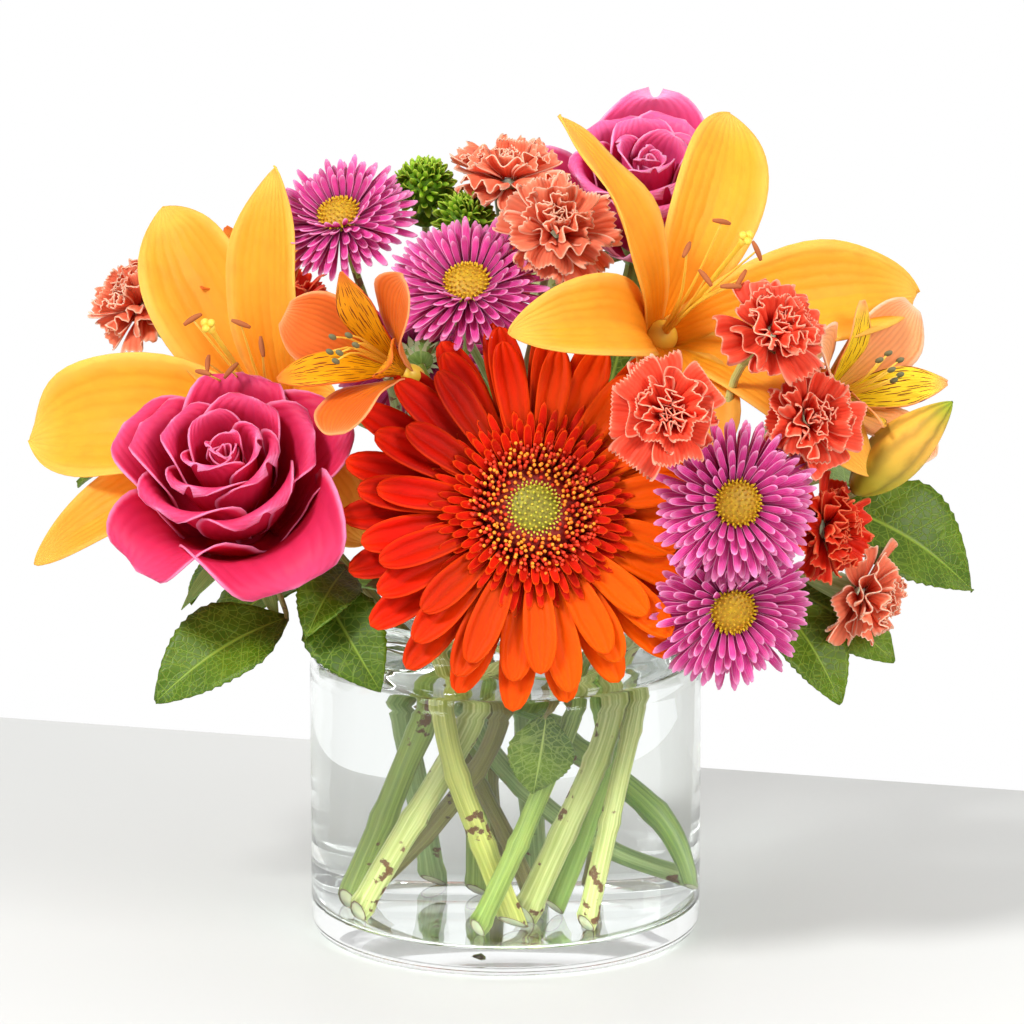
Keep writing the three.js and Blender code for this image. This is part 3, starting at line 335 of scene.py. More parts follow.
def ring(bm, p, vary, random, rows, columns):
    """A whorl of alike petals, p["count"] of them, with `vary` of irregularity."""
    for k in range(p["count"]):
        angle = p["angle"] + 360 / p["count"] * (k + vary * (next(random) - 0.5))
        length, lift = (p[key] * (1 + vary * (next(random) - 0.5)) for key in ("length", "lift"))
        phase = tau * next(random)
        drawn = dict(p, angle=angle, length=length, lift=lift, phase=phase)
        sheet(bm, rows, columns, petal_place(drawn), own_tone(phase))


def course(points):
    """A smooth line through the points, from 0 to 1."""
    spots = [Vector(point) for point in points]
    spots = [2 * spots[0] - spots[1], *spots, 2 * spots[-1] - spots[-2]]
    spans = len(spots) - 3
    lengths = [(spots[i + 2] - spots[i + 1]).length for i in range(spans)]
    total = sum(lengths)

    def at(u):
        far = min(max(u, 0), 1) * total
        i = 0
        while i < spans - 1 and far > lengths[i]:
            far -= lengths[i]
            i += 1
        t = far / lengths[i]
        a, b, c, d = spots[i : i + 4]
        bend, pull = 2 * a - 5 * b + 4 * c - d, 3 * b - a - 3 * c + d
        return 0.5 * (2 * b + (c - a) * t + bend * t**2 + pull * t**3)

    return at


def rod(bm, points, radius, steps, around, cut=0.0):
    """A closed round stem along the points. Its radius goes from one value to another, or is
    radius(u), and `cut` slants its lower end. The tone is 1 at the ends, for their pith."""
    line = course(points)
    width = radius if callable(radius) else lambda u: mix(*radius, u)
    spots = [line(k / steps) for k in range(steps + 1)]
    ways = []
    for k in range(steps + 1):
        ways.append((line(min(k / steps + 0.01, 1)) - line(max(k / steps - 0.01, 0))).normalized())
    side = ways[0].orthogonal().normalized()
    frames = []
    for way in ways:
        side = (side - way * side.dot(way)).normalized()
        frames.append((side, way.cross(side)))
    rows = steps + 2
    made = bmesh.ops.create_grid(bm, x_segments=around, y_segments=rows, size=1.0, calc_uvs=True)["verts"]
    layer = bm.verts.layers.float["tone"]
    for vert in made:
        row = round((vert.co.y + 1) / 2 * rows)
        k = min(max(row - 1, 0), steps)
        angle = vert.co.x * pi
        out = 0 if row in (0, rows) else width(k / steps)
        one, other = frames[k]
        place = spots[k] + out * (cos(angle) * one + sin(angle) * other)
        if k == 0:
            place -= ways[0] * cut * out * cos(angle)
        vert.co = place
        vert[layer] = 1.0 if row in (0, rows) else 0.0
    bmesh.ops.remove_doubles(bm, verts=made, dist=1e-4)


def bead(bm, place, size, tone, detail=1):
    """A small round floret, anther or bump, at a point or moved by a matrix."""
    made = bmesh.ops.create_icosphere(bm, subdivisions=detail, radius=1.0, calc_uvs=True)["verts"]
    bmesh.ops.scale(bm, vec=size, verts=made)
    where = place if isinstance(place, Matrix) else Matrix.Translation(place)
    bmesh.ops.transform(bm, matrix=where, verts=made)
    layer = bm.verts.layers.float["tone"]
    for vert in made:
        vert[layer] = tone


def spread(count, radius, depth, reach):
    """Places on a dome by the golden angle, out to a fraction of its half angle."""
    for k in range(count):
        part = (k + 0.5) / count
        polar = pi / 2 * sqrt(mix(0, reach**2, part))
        turn = k * GOLDEN_ANGLE
        out = Vector((cos(turn), sin(turn), 0))
        spot = out * radius * sin(polar) + Vector((0, 0, depth * cos(polar)))
        normal = (out * sin(polar) / radius + Vector((0, 0, cos(polar) / depth))).normalized()
        yield part, spot, normal


def lean_to(spot, normal):
    """The place of a small floret at a spot, with its +Z along the normal."""
    return Matrix.Translation(spot) @ normal.to_track_quat("Z", "Y").to_matrix().to_4x4()


def tint(code):
    """A screen colour such as FF8800 as linear light."""
    levels = [int(code[i : i + 2], 16) / 255 for i in (0, 2, 4)]
    return (*[c / 12.92 if c <= 0.04045 else ((c + 0.055) / 1.055) ** 2.4 for c in levels], 1.0)


def group(name, colours, **numbers):
    """A node group that is given colours and numbers, and hands on a colour and a height."""
    tree = bpy.data.node_groups.new(name, "ShaderNodeTree")
    for label in colours:
        tree.interface.new_socket(label, in_out="INPUT", socket_type="NodeSocketColor")
    for label, value in numbers.items():
        label = label.replace("_", " ").capitalize()
        made = tree.interface.new_socket(label, in_out="INPUT", socket_type="NodeSocketFloat")
        made.default_value = value
    tree.interface.new_socket("Color", in_out="OUTPUT", socket_type="NodeSocketColor")
    tree.interface.new_socket("Height", in_out="OUTPUT", socket_type="NodeSocketFloat")
    return tree, Tree(tree), tree.nodes.new("NodeGroupInput").outputs


def hand_on(on, color, height):
    """The end of a node group."""
    leave = on.nodes.new("NodeGroupOutput")
    on.link(color, leave.inputs["Color"])
    on.link(height, leave.inputs["Height"])


def painted(name, paint, values, bump, distance, **shine):
    """A material whose colour and fine relief come from a node group, with the group's values."""
    made, on, shader = material(name, **shine)
    mixed = on.node("Group", node_tree=paint)
    for key, value in values.items():
        label = key.replace("_", " ").capitalize()
        mixed.inputs[label].default_value = tint(value) if isinstance(value, str) else value
    on.link(mixed.outputs["Color"], shader.inputs["Base Color"])
    on.relief(shader, mixed.outputs["Height"], bump, distance)
    return made


# Petal colours and grain, shared by every petal: a root, a body, a tip and an edge, fine veins that
# run to the tip, and a soft mottle. Each petal has its own tone.
petal_paint, on, given = group(
    "petal_paint", ("Root", "Body", "Tip", "Edge"), root_reach=0.3, tip_reach=0.3, edge_reach=0.1, veins=0.1,
    vein_count=9.0, tone_range=0.2,
)
across, along, _ = on.split(on.petal_map())
edge = on.math("ABSOLUTE", on.times(across, 2.0, -1.0))
color = on.mixed(on.step(along, 0.0, given["Root reach"]), given["Root"], given["Body"])
color = on.mixed(on.step(along, on.less(1.0, given["Tip reach"]), 1.0), color, given["Tip"])
outermost = on.math("MAXIMUM", edge, along)
color = on.mixed(on.step(outermost, on.less(1.0, given["Edge reach"]), 1.0), color, given["Edge"])
drift = on.noise(130.0, 3.0)
angle = on.times(across, on.times(given["Vein count"], tau), on.times(drift, 2.0))
lines = on.math("POWER", on.math("ABSOLUTE", on.math("SINE", angle)), 3.0)
dark = on.less(1.0, on.times(lines, given["Veins"]))
shade = on.times(on.less(on.tone(), 0.5), given["Tone range"], 1.0)
shade = on.times(on.times(shade, dark), on.times(drift, 0.3, 0.85))
grey = on.node("CombineColor", {0: shade, 1: shade, 2: shade}).outputs[0]
height = on.times(drift, 0.5, on.times(lines, -1.0))
hand_on(on, on.mixed(1.0, color, grey, "MULTIPLY"), height)


def petal_look(name, root, body, tip, edge=None, glow=0.3, roughness=0.55, shine=0.2, bump=0.35, **values):
    """A petal's material: its paint, a fine grain of veins, and light that passes through."""
    values.update(root=root, body=body, tip=tip, edge=edge or tip)
    return painted(
        name, petal_paint, values, bump, 0.0004, roughness=roughness, subsurface_weight=glow,
        subsurface_scale=0.002, subsurface_radius=(1.0, 0.5, 0.35), specular_ior_level=shine,
    )


def reopened(made):
    """A painted material's tree, its shader and its paint, to add to."""
    on = Tree(made.node_tree)
    shader = next(item for item in on.nodes if item.type == "BSDF_PRINCIPLED")
    return on, shader, shader.inputs["Base Color"].links[0].from_socket


gerbera_at = standing((9, -78, 158), 8, 21)
RAYS = shapes(
    "count angle start rise length width lift curl",
    (22, 0, 15.5, -6.4, 46.5, 12.4, 3, -6),
    (20, 9, 15, -4.4, 42, 12.2, 11, -12),
    (15, 4, 14.5, -3.2, 36, 11, 18, -18),
    widest=0.68, root=0.34, blunt=0.44, neck=1.2, skew=1.0, wrap=9, groove=0.35,
)
random = stream(3)
bm = growth()
for rays, vary, drawn in zip(RAYS, (0.1, 0.1, 0.2), (random, random, stream(31))):
    ring(bm, rays, vary, drawn, 12, 6)
red = petal_look(
    "gerbera_ray", "8C0400", "C40E00", "D42202", "DE3006", root_reach=0.6, tip_reach=0.45, edge_reach=0.2,
    veins=0.22, vein_count=1.5, tone_range=0.5, bump=0.8, shine=0.08,
)
# The rays are deep red at the left and turn to orange towards the lower right: painted light on the lower
# right and painted shade at the left, partly also the flower's own change of tone.
on, shader, paint = reopened(red)
right, _, up = on.split(on.spots())
painted_light_right = on.times(on.step(on.times(up, -0.4, right), -0.1, 0.01), 0.85)
on.link(on.mixed(painted_light_right, paint, tint("FF6400")), shader.inputs["Base Color"])
finished("gerbera_rays", bm, ["gerbera"], red, gerbera_at, PETAL_THICKNESS)

INNER = shapes(
    "count angle start rise length lift",
    (46, 0, 18.5, -2.8, 16, 12),
    (46, 4.5, 18.2, -1.8, 14, 22),
    (44, 9, 17.6, -1.0, 12, 32),
    (40, 13.5, 16.8, -0.4, 10, 42),
    widest=0.6, root=0.6, blunt=0.45, wrap=1.8, width=2.8, curl=-24, rim=70,
)
bm = growth()
random = stream(7)
for short in INNER:
    ring(bm, short, 0.35, random, 5, 2)
inner = petal_look(
    "gerbera_inner", "8A0400", "D41800", "F04408", root_reach=0.6, veins=0.1, tone_range=0.5, shine=0.1
)
finished("gerbera_inner_florets", bm, [], inner, gerbera_at, thickness=0.4)

FLORETS, RING_START, RING_END = 460, 9.3, 22.5
bm = growth()
bead(bm, (0, 0, -3.2), (16.5, 16.5, 4.6), 0.0, 3)
random = stream(19)
for k in range(FLORETS):
    part = (k + 0.5) / FLORETS
    lean = radians(mix(96, 52, part) + 16 * (next(random) - 0.5))
    reach, length = sqrt(mix(RING_START**2, RING_END**2, part)) + next(random) - 0.5, mix(4.2, 7.6, part)
    turn, height = k * GOLDEN_ANGLE + 0.12 * (next(random) - 0.5), 1.4 + 2.6 * sin(pi * part)
    out = Vector((cos(turn), sin(turn), 0))
    up = out * cos(lean) + Vector((0, 0, sin(lean)))
    end = out * reach + Vector((0, 0, height + next(random) - 0.5))
    bead(bm, lean_to(end - up * length / 2, up), (0.78, 0.78, length / 2), 0.25 + 0.5 * next(random))
    ripe = next(random) > 0.25 + 0.7 * part
    bead(bm, lean_to(end, up), (0.66, 0.66, 0.6), mix(2.0, 2.6, next(random)) if ripe else 1.0)


def floret_look(name, dark, bright, dust):
    """Tiny florets that darken towards their foot, some tipped with another colour."""
    made, on, shader = material(name, roughness=0.6, subsurface_weight=0.2, subsurface_scale=0.0015)
    tone = on.tone()
    amount = on.step(on.math("ADD", tone, on.less(on.noise(700.0), 0.5)), 0.0, 1.0)
    color = on.mixed(on.step(tone, 1.5, 2.5), on.mixed(amount, tint(dark), tint(bright)), tint(dust))
    on.link(color, shader.inputs["Base Color"])
    return made


florets = floret_look("gerbera_florets", "8A1000", "E03404", "F6A020")
finished("gerbera_disc_ring", bm, [], florets, gerbera_at)

bm = growth()
bead(bm, (0, 0, -0.6), (8.2, 8.2, 3.4), 0.3, 3)
for part, spot, normal in spread(150, 8.8, 3.6, 0.98):
    bead(bm, lean_to(spot + Vector((0, 0, -0.5)), normal), (0.42, 0.42, 0.8), 1.3 - 0.75 * part**4)
button = floret_look("gerbera_button", "6A6008", "CFC838", "E6DC70")
finished("gerbera_button", bm, ["gerbera_disc"], button, gerbera_at)

# Stem skin, shared by every stem: fine lengthwise lines, brown scars and specks, and at a cut end
# the pale pith inside a thin brown rim.
stem_paint, on, given = group("stem_paint", ("Skin", "Pale", "Scar"), scars=0.3)
stretch = on.node("Mapping", {"Vector": on.petal_map(), "Scale": (26.0, 3.0, 1.0)}).outputs[0]
lines, patch, speck = on.noise(1.0, 3.0, stretch), on.noise(45.0), on.noise(260.0, 4.0)
color = on.mixed(on.step(lines, 0.35, 0.7), given["Skin"], given["Pale"])
color = on.mixed(on.times(patch, 0.6), color, given["Pale"])
limit = on.times(given["Scars"], -0.2, 0.48)
scarred = on.step(on.times(patch, speck), limit, on.math("ADD", limit, 0.04))
color = on.mixed(scarred, color, given["Scar"])
tone = on.tone()
color = on.mixed(on.step(tone, 0.02, 0.12), color, given["Scar"])
hand_on(on, on.mixed(on.step(tone, 0.12, 0.3), color, tint("D9DDB4")), on.less(lines, scarred))


def stem_look(name, skin, pale, scar="6A4416", scars=0.3):
    """A stem's material."""
    return painted(
        name, stem_paint, {"skin": skin, "pale": pale, "scar": scar, "scars": scars}, 0.5, 0.0005,
        roughness=0.42, subsurface_weight=0.15, subsurface_scale=0.003,
    )


stalk = growth()
way = [(12, -6, 11), (20, -6, 38), (26, -8, 65), (22, -16, 92), (16, -29, 116), (10, -45, 139), (7, -63, 152)]
rod(stalk, way, (3.1, 2.7), 40, 14, cut=0.8)
BRACTS = shapes(
    "angle start rise length lift",
    (3, 3, -15.5, 15, 34),
    (6, 6, -13.5, 12, 32),
    (9, 9, -11, 9, 26),
    count=13, widest=0.35, root=0.8, blunt=1.0, wrap=6, width=4.6, curl=-12,
)
calyx = growth()
random = stream(12)
for bracts in BRACTS:
    ring(calyx, bracts, 0.2, random, 6, 2)
rod(calyx, [(0, 0, -16.5), (0, 0, -12), (0, 0, -8)], (3, 13.5), 6, 16)
green = stem_look("gerbera_stem_skin", "6E8F30", "9DB85A", scars=0.25)
finished("gerbera_stalk", stalk, ["gerbera_stem"], green)
finished("gerbera_bracts", calyx, [], green, gerbera_at)

# ---- The lilies ----
# Two open golden lilies of six thick, backward-curling petals: three narrow outer ones and three
# broad inner ones with a groove along the middle. Six long stamens swing large anthers round a
# three-lobed style. A ribbed bud stands at the right.

LILY = "angle length width lift curl twist"
TEPAL = dict(root=0.34, widest=0.56, blunt=0.7, neck=1.5, groove=1.6, skew=0.6)
OUTER = dict(TEPAL, start=3.4, rise=-24, wrap=24, ruffle=0.5, ruffles=1.5)
INSIDE = dict(TEPAL, start=3.0, rise=-21.5, wrap=26, ruffle=1.5, ruffles=2.5)
LEFT_OUTER = (8, 46, 27, 88, -76, 0), (130, 90, 40, 58, -70, 0), (222, 94, 24, 44, -62, 0)
LEFT_INSIDE = (90, 92, 27, 70, -60, 0), (193, 92, 46, 54, -84, -18), (318, 52, 26, 50, -130, 0)
RIGHT_OUTER = (62, 85.4, 33, 54, -92, 0), (184, 84, 30, 76, -92, 0), (308, 90, 27, 68, -90, 0)
RIGHT_INSIDE = (0, 91, 36, 60, -90, 0), (124, 91, 26, 70, -72, 46), (256, 62, 38, 70, -120, 0)
lily_petal = petal_look(
    "lily_petal", "E08204", "F8A028", "FBAE3C", "FCB64C", root_reach=0.4, tip_reach=0.4, edge_reach=0.35,
    veins=0.03, vein_count=5.0, tone_range=0.16, glow=0.35,
)
anther = material("lily_anther", base_color=tint("A85A2A"), roughness=0.8)[0]
filament = material("lily_filament", base_color=tint("F2C23C"), roughness=0.45, subsurface_weight=0.2)[0]


def anther_radius(u):
    return 0.3 + 0.6 * sin(pi * min(max(u, 0.04), 0.96)) ** 0.5


def style_radius(u):
    """A thin style that widens under its three lobes."""
    return mix(1.0, 0.8, u) + 1.4 * max(u - 0.93, 0) * 14


def lily(name, seed, at, azimuth, elevation, outer, inside):
    where = standing(at, azimuth, elevation)
    random = stream(seed + 3)
    bm = growth()
    for tepal in shapes(LILY, *outer, **OUTER) + shapes(LILY, *inside, **INSIDE):
        sheet(bm, 22, 10, petal_place(dict(tepal, phase=tau * next(random))), next(random))
    finished(name + "_petals", bm, [name], lily_petal, where, PETAL_THICKNESS)
    stalks, tips = growth(), growth()
    random = stream(seed + 3)
    for k in range(6):
        angle, reach = radians(60 * k + 20), next(random)
        far, high = mix(12, 18, reach), mix(32, 41, reach)
        # The lower stamens hang closer to the style.
        if sin(angle) < 0:
            far *= 0.45
        end = Vector((far * cos(angle), far * sin(angle) + 4, high))
        start = Vector((0.6 * cos(angle), 0.6 * sin(angle), -18))
        middle = (start + end) / 2 - Vector((cos(angle), sin(angle), 0)) * 2.5
        rod(stalks, [start, middle, end], (0.75, 0.3), 12, 6)
        side = Vector((-sin(angle), cos(angle), 0.25))
        spots = [end + side * step + Vector((0, 0, -abs(step) * 0.2)) for step in (-3.2, -1.2, 1.2, 3.2)]
        rod(tips, spots, anther_radius, 10, 8)
    rod(stalks, [(0, 0, -17), (1, 3, 15), (2, 8, 51)], style_radius, 18, 8)
    for k in range(3):
        angle = radians(120 * k + 30)
        bead(stalks, (2 + 1.3 * cos(angle), 8 + 1.3 * sin(angle), 51.6), (1.4, 1.4, 1.1), 0.0, 2)
    bead(stalks, (0, 0, -20), (5.6, 5.6, 6), 0.0, 3)
    finished(name + "_filaments", stalks, [], filament, where)
    finished(name + "_anthers", tips, [], anther, where)


lily("lily_right", 2, (56, -45, 212), 24, 30, RIGHT_OUTER, RIGHT_INSIDE)
lily("lily_left", 3, (-77, -20, 176), -28, 34, LEFT_OUTER, LEFT_INSIDE)


def bud_place(u, v):
    """Six long lobes round a spindle, with a seam between each two."""
    angle = pi * v
    out = 9.4 * sin(pi * min(u, 0.995) ** 0.9) ** 0.7 * (1 - 0.3 * u)
    out *= 1 + 0.09 * cos(3 * angle) + 0.08 * abs(cos(1.5 * angle)) ** 0.3
    return Vector((out * cos(angle), out * sin(angle), 48 * u))


bm = growth()
sheet(bm, 26, 36, bud_place, 0.5)
bmesh.ops.remove_doubles(bm, verts=bm.verts, dist=1e-3)
bud = petal_look(
    "lily_bud", "A8A82C", "F0B448", "93A828", root_reach=0.6, tip_reach=0.5, veins=0.4, vein_count=3.0
)
finished("lily_bud_body", bm, ["lily_bud"], bud, standing((109, -50, 156), 62, 44, 188))

# ---- The roses ----
# Full garden roses: a heart rolled in a spiral, then wider and wider cupped petals whose rims roll
# back. They are deep pink inside with pale rims, over a green calyx of five sepals.

ROSE = dict(root=0.2, widest=0.62, tip=0.1, blunt=0.46, skew=3.0)
PINK = dict(edge_reach=0.1, veins=0.03, vein_count=5.0, tone_range=0.14, glow=0.4)
rose_petal = petal_look(
    "rose_petal", "C4062A", "D42A58", "DE4878", "EE80A8", root_reach=0.78, tip_reach=0.32, **PINK
)
back_rose_petal = petal_look(
    "back_rose_petal", "B81C50", "DE4680", "EC6CA0", "F69AC0", root_reach=0.5, tip_reach=0.4, roughness=0.42,
    **PINK,
)
sepal = stem_look("rose_sepal", "4F7A24", "8FAE58", scars=0.1)

# The whorls of a rose from the heart outwards, then the outermost petals one by one: five of the
# open rose and three of the one at the back.
WHORLS = shapes(
    "count angle start rise length width wrap lift curl root flare rim roll",
    (3, 30, 3, 5, 21, 15, 5.5, 84, 4, 0.2, 0, 0, 1),
    (3, 75, 5, 1, 28, 29, 10, 64, 34, 0.2, 0, -50, 2),
    (4, 20, 6, -5, 35, 38, 15, 50, 50, 0.2, 0, -80, 4),
    (5, 44, 7, -10, 42, 44, 20, 34, 84, 0.5, -50, -90, 5),
    **ROSE,
)
HEART_TURNS = 2.25
GUARD = {**ROSE, **dict(root=0.85, start=7, rise=-15, wrap=28, roll=4, ruffle=0.8)}
GUARDS = shapes(
    "angle length width lift curl flare blunt",
    (50, 44, 50, 30, 80, -40, 0.46),
    (115, 47, 46, 30, 90, -110, 0.46),
    (190, 46, 48, 24, 100, -190, 0.46),
    (260, 52, 62, 20, 100, -185, 0.46),
    (343, 48, 48, 30, 80, -110, 0.8),
    **GUARD,
)
BACK_GUARDS = shapes(
    "angle length width flare",
    (0, 46, 46, 0),
    (100, 44, 44, -60),
    (220, 44, 44, -60),
    **GUARD, lift=20, curl=80,
)


def rose(name, where, random, size, guards, look):
    bm = growth()
    for whorl in WHORLS:
        scaled = {key: whorl[key] * size for key in ("start", "rise", "length", "width", "wrap")}
        ring(bm, dict(whorl, **scaled, ruffle=0.6 * size), 0.08, random, 16, 12)
    for guard in guards:
        phase = tau * next(random)
        sheet(bm, 18, 14, petal_place(dict(guard, phase=phase)), own_tone(phase))

    def heart_place(u, v):
        """The innermost petals, rolled into one another, with rims that turn out a little."""
        turned_by = HEART_TURNS * tau * (v + 1) / 2
        out = mix(0.5, 5.2, (v + 1) / 2) + 0.5 * u**5 + 0.2 * sin(3 * turned_by)
        up = 4 + u * (20 - 1.6 * (v + 1) + 0.7 * sin(2.3 * turned_by))
        return Vector((out * cos(turned_by), out * sin(turned_by), up)) * size

    sheet(bm, 10, 90, heart_place, 0.5)
    bead(bm, (0, 0, -14.5 * size), (8.5, 8.5, 4.5), 0.0, 3)
    finished(name + "_petals", bm, [name], look, where, PETAL_THICKNESS)
    bm = growth()
    bead(bm, (0, 0, -16.9 * size - 5), (6.4, 6.4, 5.6), 0.0, 3)
    leaf = dict(start=4, rise=-18 * size - 5, length=27, width=7, wrap=8, lift=-8, curl=-30, skew=0.6)
    leaf.update(root=0.7, widest=0.3, blunt=1.1)
    for k in range(5):
        leaf.update(angle=72 * k + 36, twist=14 * sin(k * 2.1))
        sheet(bm, 10, 4, petal_place(leaf), 0.0)
    finished(name + "_sepals", bm, [], sepal, where, PETAL_THICKNESS)


for row in blooms((
    ("rose_left", 1, (-85, -50, 155), -14, 52, 1.0, GUARDS, rose_petal),
    ("rose_back", 17, (45, 30, 233), 8, 60, 0.85, BACK_GUARDS, back_rose_petal),
)):
    rose(*row)

# ---- The asters ----
# Magenta daisies with many narrow rays in six layers round a dome of yellow florets. The last
# number of each is its size.

ASTERS = (
    ("aster_front", 6, (72, -88, 162), 12, 12, 1.0),
    ("aster_low", 7, (71, -82, 126), 14, -8, 1.0),
    ("aster_middle", 9, (-12, -40, 222), -6, 52, 1.0),
    ("aster_high", 10, (-53, -10, 238), -20, 56, 0.93),
    ("aster_rear_left", 24, (-30, 72, 176), -165, 24, 1.0),
)
ASTER_RAYS = shapes(
    "count angle start rise length width lift curl",
    (32, 0, 6.8, -3.2, 19, 2.9, -4, -16),
    (31, 6, 6.7, -2.6, 19, 2.9, 3, -10),
    (30, 2, 6.6, -2, 18, 2.8, 10, -6),
    (28, 8, 6.5, -1.4, 16.5, 2.7, 18, 0),
    (25, 5, 6.4, -0.8, 14, 2.5, 28, 6),
    (22, 1, 6.3, -0.2, 10.5, 2.2, 40, 12),
    widest=0.72, root=0.5, tip=0.2, blunt=0.5, neck=1.2, skew=0.3, wrap=1.9, rim=50,
)
ASTER_BRACTS = shapes(
    "angle start rise length",
    (0, 2.4, -8, 6),
    (9, 4.0, -6, 5),
    (18, 5.6, -4.6, 4),
    count=14, width=1.8, lift=38, curl=-50, root=0.8, widest=0.3, blunt=1.0,
)
aster_ray = petal_look(
    "aster_ray", "8A0A54", "D84090", "F296C4", root_reach=0.5, tip_reach=0.4, veins=0.12, vein_count=2.0,
    tone_range=0.35, glow=0.25,
)
aster_eye = floret_look("aster_florets", "A87A04", "E4BC10", "F6E24A")
for name, where, random, size in blooms(ASTERS):
    where = where @ Matrix.Scale(size, 4)
    bm = growth()
    for layer in ASTER_RAYS:
        ring(bm, layer, 0.3, random, 6, 2)
    finished(name + "_rays", bm, [name], aster_ray, where, FINE_PETAL)
    bm = growth()
    bead(bm, (0, 0, -0.4), (7, 7, 3.2), 0.4, 3)
    for part, spot, normal in spread(130, 7.6, 4.4, 1.0):
        tone = mix(0.35, 1.0, part) + (1.6 if part > 0.8 else 0)
        bead(bm, lean_to(spot + Vector((0, 0, -0.6)), normal), (0.42, 0.42, mix(0.5, 1.2, part)), tone)
    finished(name + "_florets", bm, [name + "_disc"], aster_eye, where)
    bm = growth()
    rod(bm, [(0, 0, -9.5), (0, 0, -7), (0, 0, -3.4)], lambda u: mix(1.6, 6.6, u**0.6), 6, 12)
    for scale in ASTER_BRACTS:
        ring(bm, scale, 0.2, random, 4, 2)
    finished(name + "_bracts", bm, [], sepal, where)

# ---- The carnations ----
# Spray carnations: crumpled, toothed petals packed on a tubular green calyx. The rims are paler. The
# last number of each is its colour: salmon, red or pale.

CARNATIONS = (
    ("carnation_front", 5, (50, -100, 193), 4, 24, 0),
    ("carnation_middle", 11, (16, -38, 238), 8, 40, 2),
    ("carnation_high", 12, (1, 0, 248), 0, 76, 2),
    ("carnation_right", 13, (83, -78, 214), 30, 34, 0),
    ("carnation_side", 14, (94, -72, 185), 34, 20, 0),
    ("carnation_red", 15, (101, -60, 147), 60, 4, 1),
    ("carnation_low", 16, (114, -48, 122), 58, -12, 2),
    ("carnation_left", 22, (-119, 21, 202), -60, 40, 2),
    ("carnation_rear", 23, (-72, 58, 190), -145, 34, 1),
    ("carnation_rear_high", 25, (14, 66, 204), 168, 40, 0),
)
CARNATION_PETALS = shapes(
    "count angle start rise length width lift curl",
    (5, 0, 3.9, -2.5, 15, 19, 12, -20),
    (5, 30, 3.6, -1, 14.5, 18, 32, -24),
    (4, 10, 3.2, 0.6, 13.5, 16, 50, -22),
    (4, 50, 2.8, 1.2, 11.2, 14, 66, -16),
    (3, 20, 1.8, 1.6, 9.4, 11, 80, -10),
    (3, 70, 0.5, 1.2, 8.8, 8, 84, 4),
    root=0.2, widest=0.93, tip=0.9, wave=2.2, frill=0.08, teeth=12,
)
PETAL_SIZE = 0.9
carnation_looks = [
    petal_look(
        *row, root_reach=0.5, tip_reach=0.3, edge_reach=0.1, veins=0.1, vein_count=6.0, tone_range=0.3
    )
    for row in (
        ("carnation_salmon", "C01C10", "EA4A30", "F4684C", "FCA488"),
        ("carnation_red", "960804", "D4260E", "E43C1C", "F06C44"),
        ("carnation_pale", "D44426", "F07A58", "F69878", "FCC0A4"),
    )
]
calyx_skin = stem_look("carnation_calyx", "7E9C52", "B9C98A", scars=0.1)
for name, where, random, look in blooms(CARNATIONS):
    bm = growth()
    for layer in CARNATION_PETALS:
        ring(bm, dict(layer, waves=1.2 + 1.4 * next(random)), 0.5, random, 9, 24)
    smaller = where @ Matrix.Scale(PETAL_SIZE, 4)
    finished(name + "_petals", bm, [name], carnation_looks[look], smaller, FINE_PETAL)
    bm = growth()
    rod(bm, [(0, 0, -21), (0, 0, -12), (0, 0, -2.5)], lambda u: 2.2 + 2.9 * u**0.5, 10, 14)
    lobe = dict(start=4.6, rise=-4, length=6, width=4.6, wrap=4.6, lift=70, curl=-30, root=1.0)
    for k in range(5):
        sheet(bm, 5, 4, petal_place(dict(lobe, angle=72 * k, widest=0.1, blunt=0.9)), 0.0)
    finished(name + "_calyx", bm, [], calyx_skin, where)

# ---- The alstroemerias ----
# Peruvian lilies: three broad salmon tepals and three narrow ones, whose golden upper part is dashed
# with dark red. Six curved stamens carry grey-green anthers. The two at the right are paler.

ALSTROEMERIAS = (
    ("alstroemeria_left", 8, (-40, -72, 205), -42, 28, 1.0, "salmon"),
    ("alstroemeria_right", 18, (109, -38, 187), 50, 26, 1.0, "peach"),
    ("alstroemeria_high", 19, (-79, 22, 203), -40, 62, 0.85, "salmon"),
    ("alstroemeria_rear", 26, (76, 50, 180), 130, 30, 1.0, "peach"),
)
BROAD, NARROW = shapes(
    "angle start rise length width lift root widest tip blunt",
    (30, 2.6, -14.5, 43, 25, 70, 0.16, 0.72, 0.3, 0.8),
    (90, 2.2, -12, 40, 14, 77, 0.22, 0.62, 0.08, 0.9),
    count=3, wrap=24, curl=-42, neck=1.3, groove=0.7, ruffle=0.8, ruffles=2,
)


def marked_look(name, root, body, tip):
    """A narrow tepal's material: dark red dashes along a golden throat."""
    made = petal_look(name, root, body, tip, root_reach=0.9, tip_reach=0.35, veins=0.05, vein_count=7.0)
    on, shader, paint = reopened(made)
    own = on.petal_map()
    stretch = on.node("Mapping", {"Vector": own, "Scale": (9.0, 6.5, 1.0)}).outputs[0]
    cells = on.node("TexVoronoi", {"Vector": stretch, "Scale": 1.0, "Randomness": 0.75}).outputs["Position"]
    apart = on.node("VectorMath", {0: stretch, 1: cells}, operation="SUBTRACT").outputs[0]
    across, along, _ = on.split(apart)
    across = on.times(across, 3.6)
    away = on.math("ADD", on.times(across, across), on.times(along, along))
    dash = on.less(1.0, on.step(away, 0.12, 0.18))
    dash = on.times(dash, on.less(1.0, on.step(on.split(own)[1], 0.72, 0.86)))
    on.link(on.mixed(dash, paint, tint("6E0A12")), shader.inputs["Base Color"])
    return made


def broad_look(name, *colours):
    """A broad tepal's material."""
    reach = dict(root_reach=0.5, tip_reach=0.3, edge_reach=0.14)
    return petal_look(name, *colours, **reach, veins=0.12, vein_count=7.0, tone_range=0.2)


